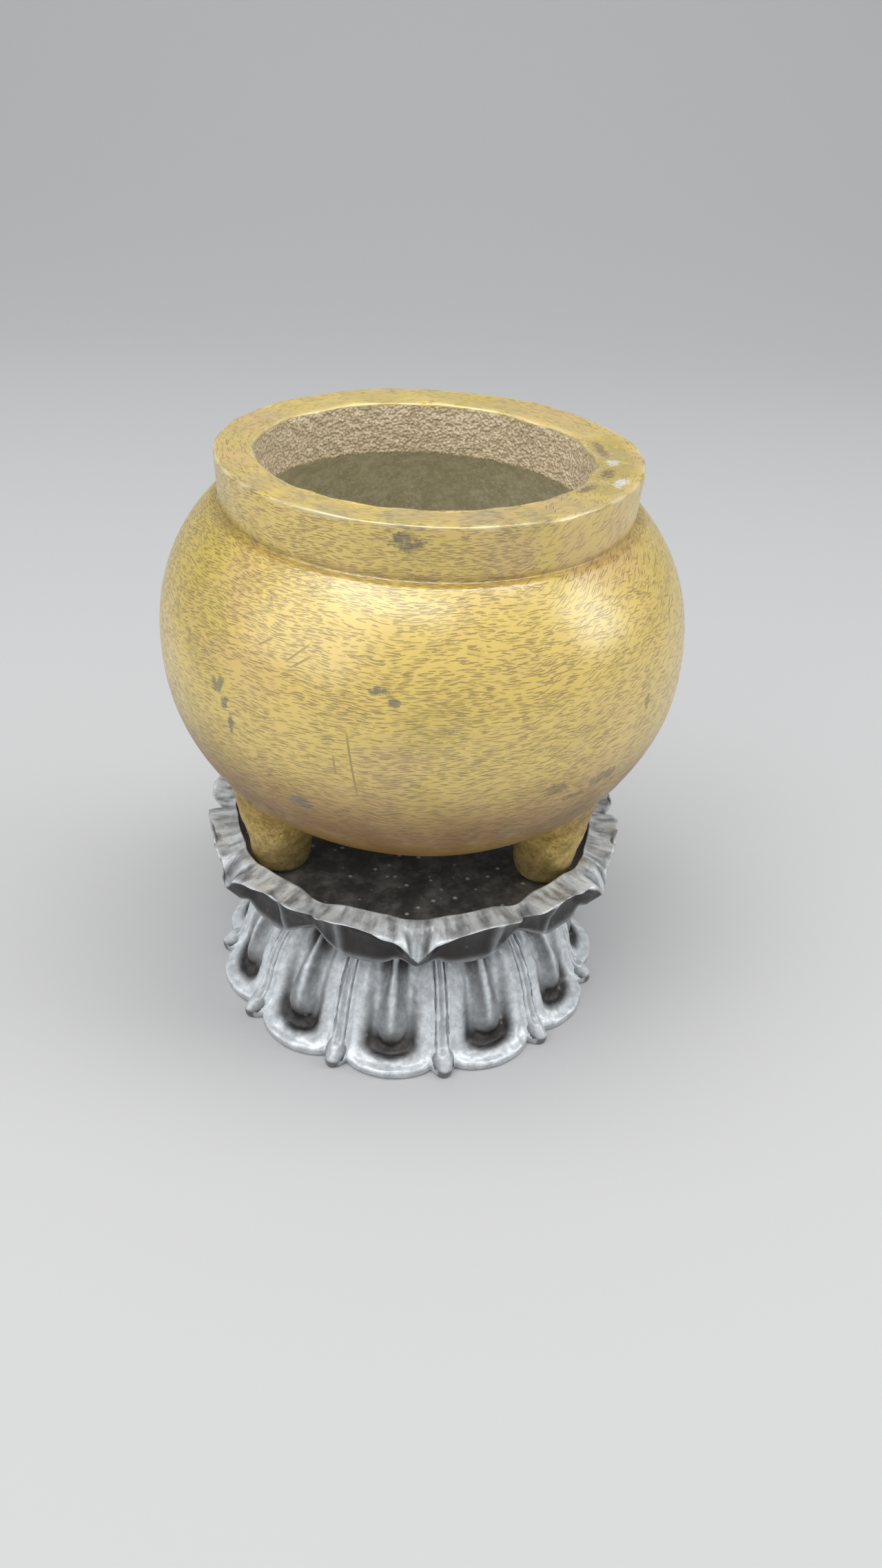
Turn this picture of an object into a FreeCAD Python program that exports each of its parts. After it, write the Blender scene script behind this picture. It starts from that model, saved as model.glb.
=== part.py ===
import FreeCAD, Part
import math
import os

# A cast bronze tripod incense burner that stands loose on a carved two-tier lotus stand.
# Millimetres, +Z up. The origin is on the floor, on the common axis. The front is -Y.

V = FreeCAD.Vector
AXIS_START = V(0, 0, 0)
UP = V(0, 0, 1)
FULL_TURN = 360.0

# Lower tier of the stand: a skirt of hanging petals with a narrow leaf between each two
BASE_HEIGHT = 31.0
BASE_TIP_RADIUS = 54.2
BASE_LIP_HEIGHT = 1.8
BASE_STEP_RADIUS = 47.4
BASE_STEP_Z = 5.2
BASE_BULGE_RADIUS = 44.0
BASE_BULGE_Z = 14.5
BASE_WAIST_RADIUS = 34.0
BASE_PETALS = 11
BASE_LEAF_AZIMUTH = 12.0
BASE_PETAL_GAP_ANGLE = 4.2
BASE_PETAL_TIP_ROUND = 4.7
BASE_PETAL_RAISE = 2.2
BASE_PETAL_BORDER = 4.0
BASE_HOLLOW_DEPTH = 1.8
BASE_BOSS_HALF_ANGLE = 4.8
BASE_BOSS_SETBACK = 8.0
BASE_BOSS_RAISE = 1.7
LEAF_HALF_WIDTH = 1.6
LEAF_TIP_HALF_WIDTH = 2.5
LEAF_TIP_LENGTH = 3.4
LEAF_RAISE = 1.5

# Upper tier of the stand: a shallow dish of upright petals in pairs, with a beak between each two
DISH_FLOOR_THICKNESS = 14.2
DISH_WAIST_RADIUS = 31.0
DISH_RIM_WIDTH = 7.6
DISH_PETALS = 12
DISH_BEAK_AZIMUTH = 2.5
DISH_PETAL_RISE = 6.0
DISH_VALLEY_RISE = 2.4
DISH_PETAL_GAP = 0.7
DISH_BELLY_RADIUS = 46.0
DISH_BELLY_RISE = 5.0
DISH_BRIM_HEIGHT = 4.0
DISH_CORE_DROP = 2.4
DISH_HOLLOW_DEPTH = 1.5
DISH_HOLLOW_BORDER = 1.6
DISH_HOLLOW_HEIGHT = 8.5
BEAK_DROP = 4.8
BEAK_SLOPE = 0.73
BEAK_GROOVE_RISE = 0.7
BEAK_HALF_WIDTH = 3.2
BEAK_RIDGE = 1.4
BEAK_DEPTH = 3.5
BEAK_REACH = 0.8
BEAK_POINT_LENGTH = 4.0

# Dowel that joins the two tiers on the axis
DOWEL_RADIUS = 8.0
DOWEL_IN_DISH = 9.0
DOWEL_IN_BASE = 16.0
GLUE_GAP = 0.05

# Burner bowl: a superellipse belly under a thick straight collar
BELLY_RADIUS = 65.0
BELLY_DROP = 51.6
BELLY_DROP_POWER = 2.24
BELLY_RISE = 49.9
BELLY_RISE_POWER = 2.13
BELLY_CLEARANCE = 9.3
SHOULDER_INSET = 13.6
COLLAR_FILLET = 2.2
COLLAR_FLARE = 0.8
COLLAR_HEIGHT = 12.6
COLLAR_WALL = 11.4
COLLAR_EDGE_ROUND = 0.9
MOUTH_DEPTH = 13.0
WALL = 5.2
FLOOR_WALL = 6.2
PROFILE_SPANS = 8

# Three conical legs, brazed into sockets in the underside of the bowl
LEGS = 3
LEG_BACK_AZIMUTH = 180.0
LEG_INSET = 25.2
FOOT_RADIUS = 6.8
FOOT_ROUND = 1.6
LEG_SLOPE = 0.22
LEG_TENON_RADIUS = 3.5
LEG_TENON_LENGTH = 3.2
BRAZE_GAP = 0.05
SEAT_CLEARANCE = 0.7

# Places worked out from the sizes above
dish_floor_z = BASE_HEIGHT + DISH_FLOOR_THICKNESS
dish_peak_z = dish_floor_z + DISH_PETAL_RISE
dish_valley_z = dish_floor_z + DISH_VALLEY_RISE
belly_bottom_z = dish_floor_z + BELLY_CLEARANCE
belly_z = belly_bottom_z + BELLY_DROP
shoulder_radius = BELLY_RADIUS - SHOULDER_INSET
shoulder_share = (shoulder_radius / BELLY_RADIUS) ** BELLY_RISE_POWER
collar_z = belly_z + BELLY_RISE * (1 - shoulder_share) ** (1 / BELLY_RISE_POWER)
collar_foot_radius = shoulder_radius - COLLAR_FILLET
collar_radius = collar_foot_radius + COLLAR_FLARE
mouth_radius = collar_radius - COLLAR_WALL
rim_z = collar_z + COLLAR_HEIGHT
leg_ring_radius = BELLY_RADIUS - LEG_INSET
leg_radius_at_dish_peak = FOOT_RADIUS + LEG_SLOPE * DISH_PETAL_RISE
dish_inner_radius = leg_ring_radius + leg_radius_at_dish_peak + SEAT_CLEARANCE
dish_outer_radius = dish_inner_radius + DISH_RIM_WIDTH
beak_root_radius = dish_inner_radius - BEAK_POINT_LENGTH
beak_root_z = dish_valley_z - BEAK_DROP + BEAK_SLOPE * (dish_outer_radius - beak_root_radius)
beyond = 2 * BELLY_RADIUS


def line(a, b):
    return Part.LineSegment(a, b).toShape()


def arc(a, middle, b):
    return Part.Arc(a, middle, b).toShape()


def chain(*points):
    """Straight edges from each point to the next."""
    return [line(a, b) for a, b in zip(points, points[1:])]


def face(edges):
    return Part.Face(Part.Wire(edges))


def turned(edges):
    """Solid of revolution about the axis, from a closed outline of radius and height."""
    return face(edges).revolve(AXIS_START, UP, FULL_TURN)


def rz(radius, z):
    return V(radius, 0, z)


def plan(radius, degrees):
    """A point in plan, at an azimuth measured from the front towards +X."""
    angle = math.radians(degrees)
    return V(radius * math.sin(angle), -radius * math.cos(angle), 0)


def upright_prism(edges):
    """A plan outline drawn up through the whole height."""
    return face(edges).extrude(V(0, 0, beyond))


def outward_prism(edges):
    """An outline seen from the front, drawn out from the axis towards -Y."""
    return face(edges).extrude(V(0, -beyond, 0))


def around(shape, count, first):
    """Equal copies round the axis, the first at that azimuth."""
    copies = []
    for k in range(count):
        copy = shape.copy()
        copy.rotate(AXIS_START, UP, first + k * FULL_TURN / count)
        copies.append(copy)
    return copies


def cylinder(radius, bottom, top, centre=AXIS_START):
    return Part.makeCylinder(radius, top - bottom, V(centre.x, centre.y, bottom))


def skirt(raised, tip_radius):
    """The lower tier's flaring form, its surface raised by that much, out to a tip radius."""
    foot = rz(tip_radius, 0)
    lip = rz(tip_radius, BASE_LIP_HEIGHT)
    step = rz(BASE_STEP_RADIUS + raised, BASE_STEP_Z)
    bulge = rz(BASE_BULGE_RADIUS + raised, BASE_BULGE_Z)
    waist = rz(BASE_WAIST_RADIUS + raised, BASE_HEIGHT)
    edges = chain(rz(0, 0), foot, lip, step)
    edges.append(arc(step, bulge, waist))
    edges += chain(waist, rz(0, BASE_HEIGHT), rz(0, 0))
    return turned(edges)


def tongue(half_angle, shoulder_radius, tip_radius):
    """Plan of a petal: straight radial sides and a round tip."""
    left = plan(shoulder_radius, -half_angle)
    right = plan(shoulder_radius, half_angle)
    tip = plan(tip_radius, 0)
    return [line(AXIS_START, left), arc(left, tip, right), line(right, AXIS_START)]


def base_petal():
    """One hanging petal: a raised border round a hollow, with a drop-shaped boss in it."""
    half_angle = (FULL_TURN / BASE_PETALS - BASE_PETAL_GAP_ANGLE) / 2
    side_radius = BASE_TIP_RADIUS - BASE_PETAL_TIP_ROUND
    outline = tongue(half_angle, side_radius, BASE_TIP_RADIUS)
    petal = skirt(BASE_PETAL_RAISE, BASE_TIP_RADIUS + BASE_LIP_HEIGHT).common(upright_prism(outline))
    border_angle = math.degrees(BASE_PETAL_BORDER / side_radius)
    hollow_plan = tongue(
        half_angle - border_angle,
        side_radius - BASE_PETAL_BORDER,
        BASE_TIP_RADIUS - BASE_PETAL_BORDER,
    )
    bed = skirt(BASE_PETAL_RAISE - BASE_HOLLOW_DEPTH, BASE_TIP_RADIUS)
    hollow = upright_prism(hollow_plan).cut(bed)
    boss_tip = BASE_TIP_RADIUS - BASE_BOSS_SETBACK
    boss_plan = tongue(BASE_BOSS_HALF_ANGLE, boss_tip - BASE_PETAL_BORDER, boss_tip)
    boss = skirt(BASE_BOSS_RAISE, BASE_TIP_RADIUS).common(upright_prism(boss_plan))
    return petal.cut(hollow).fuse(boss)


def base_leaf():
    """The narrow leaf in the valley between two petals, ending in a pointed tip."""
    tip_start = BASE_TIP_RADIUS - LEAF_TIP_LENGTH
    outline = chain(
        AXIS_START,
        V(-LEAF_HALF_WIDTH, -BASE_WAIST_RADIUS, 0),
        V(-LEAF_TIP_HALF_WIDTH, -tip_start, 0),
        V(0, -BASE_TIP_RADIUS, 0),
        V(LEAF_TIP_HALF_WIDTH, -tip_start, 0),
        V(LEAF_HALF_WIDTH, -BASE_WAIST_RADIUS, 0),
        AXIS_START,
    )
    return skirt(LEAF_RAISE, BASE_TIP_RADIUS + BASE_LIP_HEIGHT).common(upright_prism(outline))


def lotus_base():
    core = skirt(0, BASE_STEP_RADIUS)
    half_pitch = FULL_TURN / BASE_PETALS / 2
    petals = around(base_petal(), BASE_PETALS, BASE_LEAF_AZIMUTH + half_pitch)
    leaves = around(base_leaf(), BASE_PETALS, BASE_LEAF_AZIMUTH)
    solid = core.fuse(petals + leaves).removeSplitter()
    socket_bottom = BASE_HEIGHT - DOWEL_IN_BASE - GLUE_GAP
    return solid.cut(cylinder(DOWEL_RADIUS + GLUE_GAP, socket_bottom, BASE_HEIGHT))


def dish(raised, top_z):
    """The upper tier's bowl form, its outside raised by that much, up to a level rim."""
    waist = rz(DISH_WAIST_RADIUS + raised, BASE_HEIGHT)
    belly = rz(DISH_BELLY_RADIUS + raised, BASE_HEIGHT + DISH_BELLY_RISE)
    brim = rz(dish_outer_radius + raised, dish_peak_z - DISH_BRIM_HEIGHT)
    edges = [line(rz(0, BASE_HEIGHT), waist), arc(waist, belly, brim)]
    edges += chain(
        brim,
        rz(dish_outer_radius + raised, top_z),
        rz(dish_inner_radius, top_z),
        rz(dish_inner_radius, dish_floor_z),
        rz(0, dish_floor_z),
        rz(0, BASE_HEIGHT),
    )
    return turned(edges)


def arched(half_top, half_root, shoulder_z, crown_z, root_z):
    """A petal seen from the front: a narrow root, widening sides and an arched crown."""
    left = V(-half_top, 0, shoulder_z)
    right = V(half_top, 0, shoulder_z)
    edges = [arc(left, V(0, 0, crown_z), right)]
    edges += chain(right, V(half_root, 0, root_z), V(-half_root, 0, root_z), left)
    return edges


def dish_petal():
    """One upright petal: an arched crown over a hollowed outer face."""
    half_pitch = math.radians(FULL_TURN / DISH_PETALS / 2)
    half_top = dish_outer_radius * math.tan(half_pitch) - DISH_PETAL_GAP
    half_root = DISH_WAIST_RADIUS * math.tan(half_pitch) - DISH_PETAL_GAP
    outline = arched(half_top, half_root, dish_valley_z, dish_peak_z, BASE_HEIGHT)
    petal = dish(0, dish_peak_z).common(outward_prism(outline))
    hollow_z = dish_valley_z - DISH_HOLLOW_BORDER
    hollow_outline = arched(
        half_top - DISH_HOLLOW_BORDER,
        half_root - DISH_HOLLOW_BORDER,
        hollow_z,
        dish_peak_z - DISH_HOLLOW_BORDER,
        hollow_z - DISH_HOLLOW_HEIGHT,
    )
    bed = dish(-DISH_HOLLOW_DEPTH, dish_peak_z)
    outside = outward_prism(hollow_outline).cut(cylinder(dish_inner_radius, 0, beyond))
    return petal.cut(outside.cut(bed))


def sloped_prism(*points):
    """An outline of width and height, drawn outwards and down from the root of the beaks."""
    corners = [V(x, -beak_root_radius, beak_root_z + z) for x, z in points]
    return face(chain(*corners, corners[0])).extrude(V(0, -beyond, -beyond * BEAK_SLOPE))


def beak_groove():
    """The open V between the two petals of a pair, which runs down to the outer edge."""
    half = 2 * DISH_RIM_WIDTH
    top = half * BEAK_GROOVE_RISE
    return sloped_prism((0, 0), (half, top), (-half, top))


def dish_beak():
    """The ridged leaf tip that lies in the V and hangs a little over the edge."""
    side = BEAK_RIDGE / 2
    bar = sloped_prism((-BEAK_HALF_WIDTH, side), (0, BEAK_RIDGE), (BEAK_HALF_WIDTH, side), (0, -BEAK_DEPTH))
    tip = dish_outer_radius + BEAK_REACH
    root = dish_inner_radius + BEAK_REACH
    outline = chain(
        V(-BEAK_HALF_WIDTH, -root, 0),
        V(-BEAK_HALF_WIDTH, -tip + BEAK_POINT_LENGTH, 0),
        V(0, -tip, 0),
        V(BEAK_HALF_WIDTH, -tip + BEAK_POINT_LENGTH, 0),
        V(BEAK_HALF_WIDTH, -root, 0),
        V(-BEAK_HALF_WIDTH, -root, 0),
    )
    return bar.common(upright_prism(outline))


def lotus_dish():
    core = dish(-DISH_CORE_DROP, dish_valley_z)
    half_pitch = FULL_TURN / DISH_PETALS / 2
    pairs = DISH_PETALS // 2
    petals = around(dish_petal(), DISH_PETALS, DISH_BEAK_AZIMUTH + half_pitch)
    grooves = around(beak_groove(), pairs, DISH_BEAK_AZIMUTH)
    beaks = around(dish_beak(), pairs, DISH_BEAK_AZIMUTH)
    solid = core.fuse(petals).cut(grooves).fuse(beaks).removeSplitter()
    socket_top = BASE_HEIGHT + DOWEL_IN_DISH + GLUE_GAP
    return solid.cut(cylinder(DOWEL_RADIUS + GLUE_GAP, BASE_HEIGHT, socket_top))


def stand_dowel():
    return cylinder(DOWEL_RADIUS, BASE_HEIGHT - DOWEL_IN_BASE, BASE_HEIGHT + DOWEL_IN_DISH)


def belly_curve(inset, floor_inset, low_z, high_z):
    """The belly's profile between two heights, moved in by a wall thickness."""
    radius = BELLY_RADIUS - inset
    points = []
    for k in range(2 * PROFILE_SPANS + 1):
        share = math.sin(math.pi / 2 * (k / PROFILE_SPANS - 1))
        if share < 0:
            z = share * (belly_z - low_z)
            reach, power = BELLY_DROP - floor_inset, BELLY_DROP_POWER
        else:
            z = share * (high_z - belly_z)
            reach, power = BELLY_RISE - inset, BELLY_RISE_POWER
        fall = min(1.0, abs(z) / reach) ** power
        points.append(rz(radius * (1 - fall) ** (1 / power), belly_z + z))
    curve = Part.BSplineCurve()
    curve.interpolate(points)
    return curve.toShape(), points[0], points[-1]


def rounded(before, corner, after):
    """A soft corner between two straight runs."""
    curve = Part.BezierCurve()
    curve.setPoles([before, corner, after])
    return curve.toShape()


def bowl_outside(grown=0.0):
    """Edges from the underside's pole up to the collar, and the two ends of that run."""
    belly, bottom, shoulder = belly_curve(-grown, -grown, belly_bottom_z - grown, collar_z)
    corner = rz(collar_foot_radius, collar_z)
    collar_start = rz(collar_foot_radius, collar_z + shoulder.x - collar_foot_radius)
    return [belly, rounded(shoulder, corner, collar_start)], bottom, collar_start


def bowl_blank(grown):
    """The bowl with its inside filled, its outer surface grown by that much."""
    edges, bottom, collar_start = bowl_outside(grown)
    edges += chain(collar_start, rz(collar_radius, rim_z), rz(0, rim_z), bottom)
    return turned(edges)


def bowl_shell():
    """The belly, its collar and the hollow inside, as one turned outline."""
    edges, bottom, collar_start = bowl_outside()
    outer_low = rz(collar_radius, rim_z - COLLAR_EDGE_ROUND)
    outer_top = rz(collar_radius - COLLAR_EDGE_ROUND, rim_z)
    edges.append(line(collar_start, outer_low))
    edges.append(rounded(outer_low, rz(collar_radius, rim_z), outer_top))
    inner_top = rz(mouth_radius + COLLAR_EDGE_ROUND, rim_z)
    inner_low = rz(mouth_radius, rim_z - COLLAR_EDGE_ROUND)
    edges.append(line(outer_top, inner_top))
    edges.append(rounded(inner_top, rz(mouth_radius, rim_z), inner_low))
    mouth_foot = rz(mouth_radius, rim_z - MOUTH_DEPTH)
    ledge_z = mouth_foot.z - COLLAR_EDGE_ROUND
    inside, inside_bottom, ledge = belly_curve(WALL, FLOOR_WALL, belly_bottom_z + FLOOR_WALL, ledge_z)
    edges += chain(inner_low, mouth_foot, ledge)
    edges.append(inside)
    edges.append(line(inside_bottom, bottom))
    return turned(edges)


def leg_places():
    return [plan(leg_ring_radius, LEG_BACK_AZIMUTH + k * FULL_TURN / LEGS) for k in range(LEGS)]


def belly_underside_z(radius):
    """Height of the bowl's outer surface over the legs, on its lower half."""
    share = (radius / BELLY_RADIUS) ** BELLY_DROP_POWER
    return belly_z - BELLY_DROP * (1 - share) ** (1 / BELLY_DROP_POWER)


def socket_top_z():
    return belly_underside_z(leg_ring_radius) + LEG_TENON_LENGTH


def burner_bowl():
    bowl = bowl_shell()
    for place in leg_places():
        socket = cylinder(LEG_TENON_RADIUS + BRAZE_GAP, dish_floor_z, socket_top_z() + BRAZE_GAP, place)
        bowl = bowl.cut(socket)
    return bowl


def burner_leg(place):
    """A tapering leg, saddle-cut to the belly, with a tenon that enters the bowl."""
    height = belly_underside_z(leg_ring_radius + 2 * FOOT_RADIUS) - dish_floor_z
    foot = V(place.x, place.y, dish_floor_z)
    cone = Part.makeCone(FOOT_RADIUS, FOOT_RADIUS + LEG_SLOPE * height, height, foot)
    foot_edges = [e for e in cone.Edges if e.Closed and abs(e.BoundBox.ZMax - dish_floor_z) < BRAZE_GAP]
    cone = cone.makeFillet(FOOT_ROUND, foot_edges)
    tenon = cylinder(LEG_TENON_RADIUS, dish_floor_z + FOOT_RADIUS, socket_top_z(), place)
    return cone.cut(bowl_blank(BRAZE_GAP)).fuse(tenon).removeSplitter()


def build():
    """Every piece by name."""
    pieces = {
        "lotus_base": lotus_base(),
        "lotus_dish": lotus_dish(),
        "stand_dowel": stand_dowel(),
        "burner_bowl": burner_bowl(),
    }
    names = ("leg_back", "leg_front_right", "leg_front_left")
    for place in leg_places():
        name = names[0] if place.y > 0 else names[1] if place.x > 0 else names[2]
        pieces[name] = burner_leg(place)
    return pieces


os.makedirs("parts", exist_ok=True)
for name, shape in build().items():
    shape.exportStep(os.path.join("parts", name + ".step"))
    print(name, "solids", len(shape.Solids), "valid", shape.isValid(), "volume", round(shape.Volume, 1))
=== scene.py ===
import math

import bpy
import numpy as np
from mathutils import Matrix, Vector


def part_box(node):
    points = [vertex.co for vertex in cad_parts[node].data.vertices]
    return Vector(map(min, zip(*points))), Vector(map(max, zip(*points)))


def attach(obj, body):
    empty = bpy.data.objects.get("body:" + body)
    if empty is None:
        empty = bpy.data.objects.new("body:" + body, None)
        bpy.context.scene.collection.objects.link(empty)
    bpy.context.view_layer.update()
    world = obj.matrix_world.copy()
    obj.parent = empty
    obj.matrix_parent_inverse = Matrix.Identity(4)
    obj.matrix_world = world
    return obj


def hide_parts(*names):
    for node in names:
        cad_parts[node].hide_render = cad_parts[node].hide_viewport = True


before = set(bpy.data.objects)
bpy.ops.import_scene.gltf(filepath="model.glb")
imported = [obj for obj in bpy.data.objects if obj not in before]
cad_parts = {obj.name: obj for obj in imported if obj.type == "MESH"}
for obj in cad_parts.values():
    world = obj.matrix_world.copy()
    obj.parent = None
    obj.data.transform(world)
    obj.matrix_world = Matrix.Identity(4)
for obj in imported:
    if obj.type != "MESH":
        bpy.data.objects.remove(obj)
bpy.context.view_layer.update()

# The look of a bronze tripod incense burner that stands on a carved lotus stand.
# Lengths are in millimetres, in the part's own frame, and become metres where a mesh is made.
# Azimuths are in degrees from the front, which is -Y, towards +X.
MM = 0.001
TINY = 1e-9
FOOT_TOLERANCE = 0.01


def box_mm(node):
    """A node's lowest and highest corners, in millimetres."""
    return [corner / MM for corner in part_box(node)]


def foot_centre(node):
    """The middle of a leg's foot in plan, from the lowest points of its solid."""
    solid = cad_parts[node]
    points = np.array([solid.matrix_world @ vertex.co for vertex in solid.data.vertices]) / MM
    foot = points[points[:, 2] < points[:, 2].min() + FOOT_TOLERANCE]
    return (foot.min(0) + foot.max(0)) / 2


bowl_low, bowl_high = box_mm("burner_bowl")
dish_low, dish_high = box_mm("lotus_dish")
base_high = box_mm("lotus_base")[1]
leg_low = box_mm("leg_back")[0]

# Camera, fitted to the photograph's frame
FRAME_HEIGHT_PIXELS = 2276
FOCAL_PIXELS = 1800.0
SENSOR = 36.0
CAMERA_PLACE = Vector((0.0, -285.2, 241.5))
CAMERA_YAW = 1.40
CAMERA_PITCH = 32.74
CAMERA_ROLL = 3.33

# Stage and lamps, in metres and watts
FLOOR_REACH = 4.0
FLOOR_BACK = 1.6
FLOOR_RISE = 3.0
FLOOR_CURVE = 0.9
FLOOR_GREY = (0.58, 0.58, 0.58)
WORLD_COLOUR = (0.95, 0.97, 1.0, 1.0)
WORLD_STRENGTH = 0.52
LAMP_TARGET = (0.0, 0.0, 0.08)
NEAREST_SEEN = 0.01
# Each lamp: name, place, width, depth and power
LAMPS = (
    ("key_lamp", (-0.9, -0.7, 0.8), 1.2, 1.2, 4.8),
    ("side_lamp", (1.0, -0.1, 0.6), 0.5, 0.6, 2.6),
    ("top_lamp", (0.0, -0.1, 1.2), 1.4, 0.6, 7.6),
    ("front_lamp", (-0.22, -0.6, 1.1), 0.9, 0.25, 2.4),
)

# Burner bowl
BELLY_RADIUS = 65.0
BELLY_DROP = 51.6
BELLY_DROP_POWER = 2.24
BELLY_RISE = 49.9
BELLY_RISE_POWER = 2.13
NECK_RADIUS = 56.0
SHOULDER_RADIUS = 51.4
CREASE_RISE = 0.3
COLLAR_FOOT_RADIUS = 49.2
COLLAR_RADIUS = 50.0
RIM_ROUND = 0.55
MOUTH_RADIUS = 38.6
MOUTH_HALF_WIDTH = 39.4
MOUTH_HALF_DEPTH = 38.3
MOUTH_SHIFT = (-1.2, -2.0)
MOUTH_DEPTH = 13.0
MOUTH_ROUND = 0.7
MOUTH_RAGGED = 0.2
MOUTH_RAGGED_LENGTH = 11.0
LIP_REACH = 5.0
WALL = 5.2
FLOOR_WALL = 6.2
BOWL_COLUMNS = 360
PROFILE_POINTS = 600
# Angles at which the outer and the inner profile stop, just short of their poles
OUTER_POLE = -89.6
INNER_POLE = -89.0
# Each run of the profile: distance between its points, then depth and wavelength of its unevenness
BOWL_RUNS = {
    "belly": (1.1, 0.12, 42.0),
    "collar": (0.35, 0.12, 42.0),
    "edge": (0.3, 0.08, 16.0),
    "rim": (0.9, 0.14, 15.0),
    "lip": (0.25, 0.10, 9.0),
    "throat": (0.6, 0.12, 3.0),
    "ledge": (1.0, 0.12, 4.0),
    "inside": (2.4, 0.3, 16.0),
}
# Azimuths over which the rim's polish and the slanting strokes set in and fade out
POLISH_FROM = (48, 62)
POLISH_TO = (100, 118)
SLANT_FROM = (12, 40)
SLANT_TO = (100, 130)
# Heights over the underside between which the strokes set in, their share on the rim, and the belly's slant
STROKES_FROM = (8, 26)
RIM_STROKES = 0.35
BELLY_SLANT = 0.55
# Widths of the bright wear and painted sheen on the edges, and height and width of the painted shade over
# the crease
EDGE_INSET = 0.3
EDGE_WEAR_AND_SHEEN = 0.55
LIP_WEAR_AND_SHEEN = 0.7
WEAR_AND_SHEEN_LENGTH = 9.0
CREASE_SHADE_RISE = 0.5
CREASE_SHADE_WIDTH = 0.9

# Oxidised grey spots on the bowl: azimuth, height, half-angle round and half-height
OXIDE_SPOTS = (
    (-42.6, 111.8, 2.0, 2.2),
    (-40.6, 108.4, 1.2, 1.6),
    (-38.8, 104.0, 1.0, 2.6),
    (-7.6, 120.0, 2.3, 1.0),
    (-4.6, 117.8, 1.3, 1.0),
    (-4.8, 147.2, 4.2, 2.0),
    (-23.7, 88.2, 2.6, 1.9),
)
# Brown pitted stains on the bowl, given in the same way
STAIN_SPOTS = (
    (42.1, 92.6, 4.5, 1.6),
    (28.9, 94.0, 2.6, 1.8),
    (34.5, 90.0, 4.0, 0.8),
    (21.8, 81.3, 3.4, 0.8),
    (52.0, 108.0, 1.0, 2.2),
)
# Painted glints, and dark pits that are partly painted shade, in the rim's polished patch: azimuth, radius,
# half-angle round and half-width
PAINTED_GLINT_SPOTS = ((85.6, 42.4, 3.0, 1.7), (68.5, 46.0, 4.0, 1.6))
PIT_AND_SHADE_SPOTS = ((99.0, 40.8, 8.0, 1.5), (75.0, 42.0, 5.0, 1.5), (58.0, 41.5, 6.0, 1.2))
# Scratches on the bowl: azimuth and height of each end
SCRATCHES = (
    (-13.4, 112.0, -10.8, 93.0),
    (-15.8, 104.5, -15.1, 99.0),
    (-27.4, 121.6, -22.0, 126.8),
    (-25.6, 121.2, -21.2, 124.6),
    (-34.0, 123.4, -30.6, 125.8),
)
# Chips out of the mouth's edge and, where the depth is negative, a bulge into it: azimuth, half-width, depth
MOUTH_CHIPS = ((138.0, 8.0, -1.3), (117.0, 4.0, 0.5), (84.0, 4.0, 0.5), (-165.0, 5.0, 0.4))

# Legs
FOOT_RADIUS = 6.8
FOOT_ROUND = 2.0
LEG_SLOPE = 0.22
LEG_FILLET = 5.0
LEG_SINK = 0.18
# How far the last ring is drawn in and up, inside the belly
LEG_TUCK = (1.0, 1.5)
LEG_COLUMNS = 96
LEG_RINGS = 22
FILLET_RINGS = 18
FOOT_SHARES = (0.1, 0.4, 0.7)
# Layers of unevenness: depth, wavelength and seed
LEG_UNEVEN = ((0.16, 9.0, 31), (0.05, 3.5, 33))
# Rings at the leg's top that stay even, so that they keep to the belly
EVEN_RINGS = 6
MEETING_STEPS = 40

# Upper tier of the stand: petals in pairs, a beak in the middle of each pair and a notch at its ends.
# Angles are in degrees off the nearest beak.
DISH_PAIRS = 6
DISH_BEAK_AZIMUTH = 2.5
DISH_INNER_RADIUS = 48.5
DISH_OUTER_RADIUS = 56.1
DISH_WAIST_RADIUS = 31.5
DISH_CREASE_RADIUS = 52.4
DISH_CREASE_Z = 38.4
CREASE_LIFT = 5.0
CREASE_LIFT_FROM = 18
CREASE_WAVE = 1.6
CREASE_WAVE_AT = 5
CREASE_WAVE_WIDTH = 3.0
BEAK_HALF_ANGLE = 3.2
BEAK_REACH = 0.8
BEAK_KEEL = 0.9
BEAK_DROP = 5.0
BEAK_DROP_ANGLE = 2.8
BEAK_DROP_POWER = 1.5
SADDLE = (2, 19)
SADDLE_DROP = 3.2
NOTCH_HALF_ANGLE = 5.0
NOTCH_CUT = 3.6
NOTCH_DROP = 1.8
NOTCH_CREASE = 1.6
END_FROM = 20
END_DROP = 1.0
# The inner edge lies this far below the peaks, and sinks at the ends and at the saddle
INNER_DROP = 0.3
INNER_END_DROP = 0.8
INNER_SADDLE_DROP = 0.7
INNER_SET = 0.4
LOBE_FROM = (3, 9)
LOBE_TO = 22
LOBE_SWELL = 0.9
LOBE_HOLLOW = 0.4
RIM_INSET = 0.2
VEIN_ANGLE = 4.8
VEIN_TURN = 3.0
VEIN_WIDTH = 0.8
VEIN_DEPTH = 0.8
FOLD_ANGLE = 7.0
RIDGE_ANGLE = 3.4
RIDGE_TAPER = 1.6
RIDGE_HEIGHT = 1.1
ALMOND_FROM = (2.6, 7.0)
ALMOND_TO = (18.5, 21.5)
ALMOND_DEPTH = 2.8
FACET_FROM = (21.5, 24.0)
FACET_TO = 27
FACET_DEPTH = 1.3
FACET_EDGE = 21.3
SCOOP_POWER = 0.8
UNDER_SWELL = 1.6
UNDER_RADIUS_POWER = 0.9
UNDER_HEIGHT_POWER = 1.6
RIM_ROWS = 20
FACE_ROWS = 24
UNDER_ROWS = 15
DISH_FLOOR_RADII = (1.0, 12.0, 24.0, 34.0, 41.0, 44.5)
DISH_UNDER_RADII = (22.0, 10.0, 1.0)
# The inner wall: offset from the inner radius, and share of the wall's height
DISH_WALL = ((-1.2, 0.0), (-0.5, 0.05), (-0.15, 0.3), (0.0, 0.65), (0.12, 0.9))
# Half-angle of the close columns round a beak, and the numbers of close and of wide columns
DISH_COLUMNS = (9.0, 64, 84)
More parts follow.
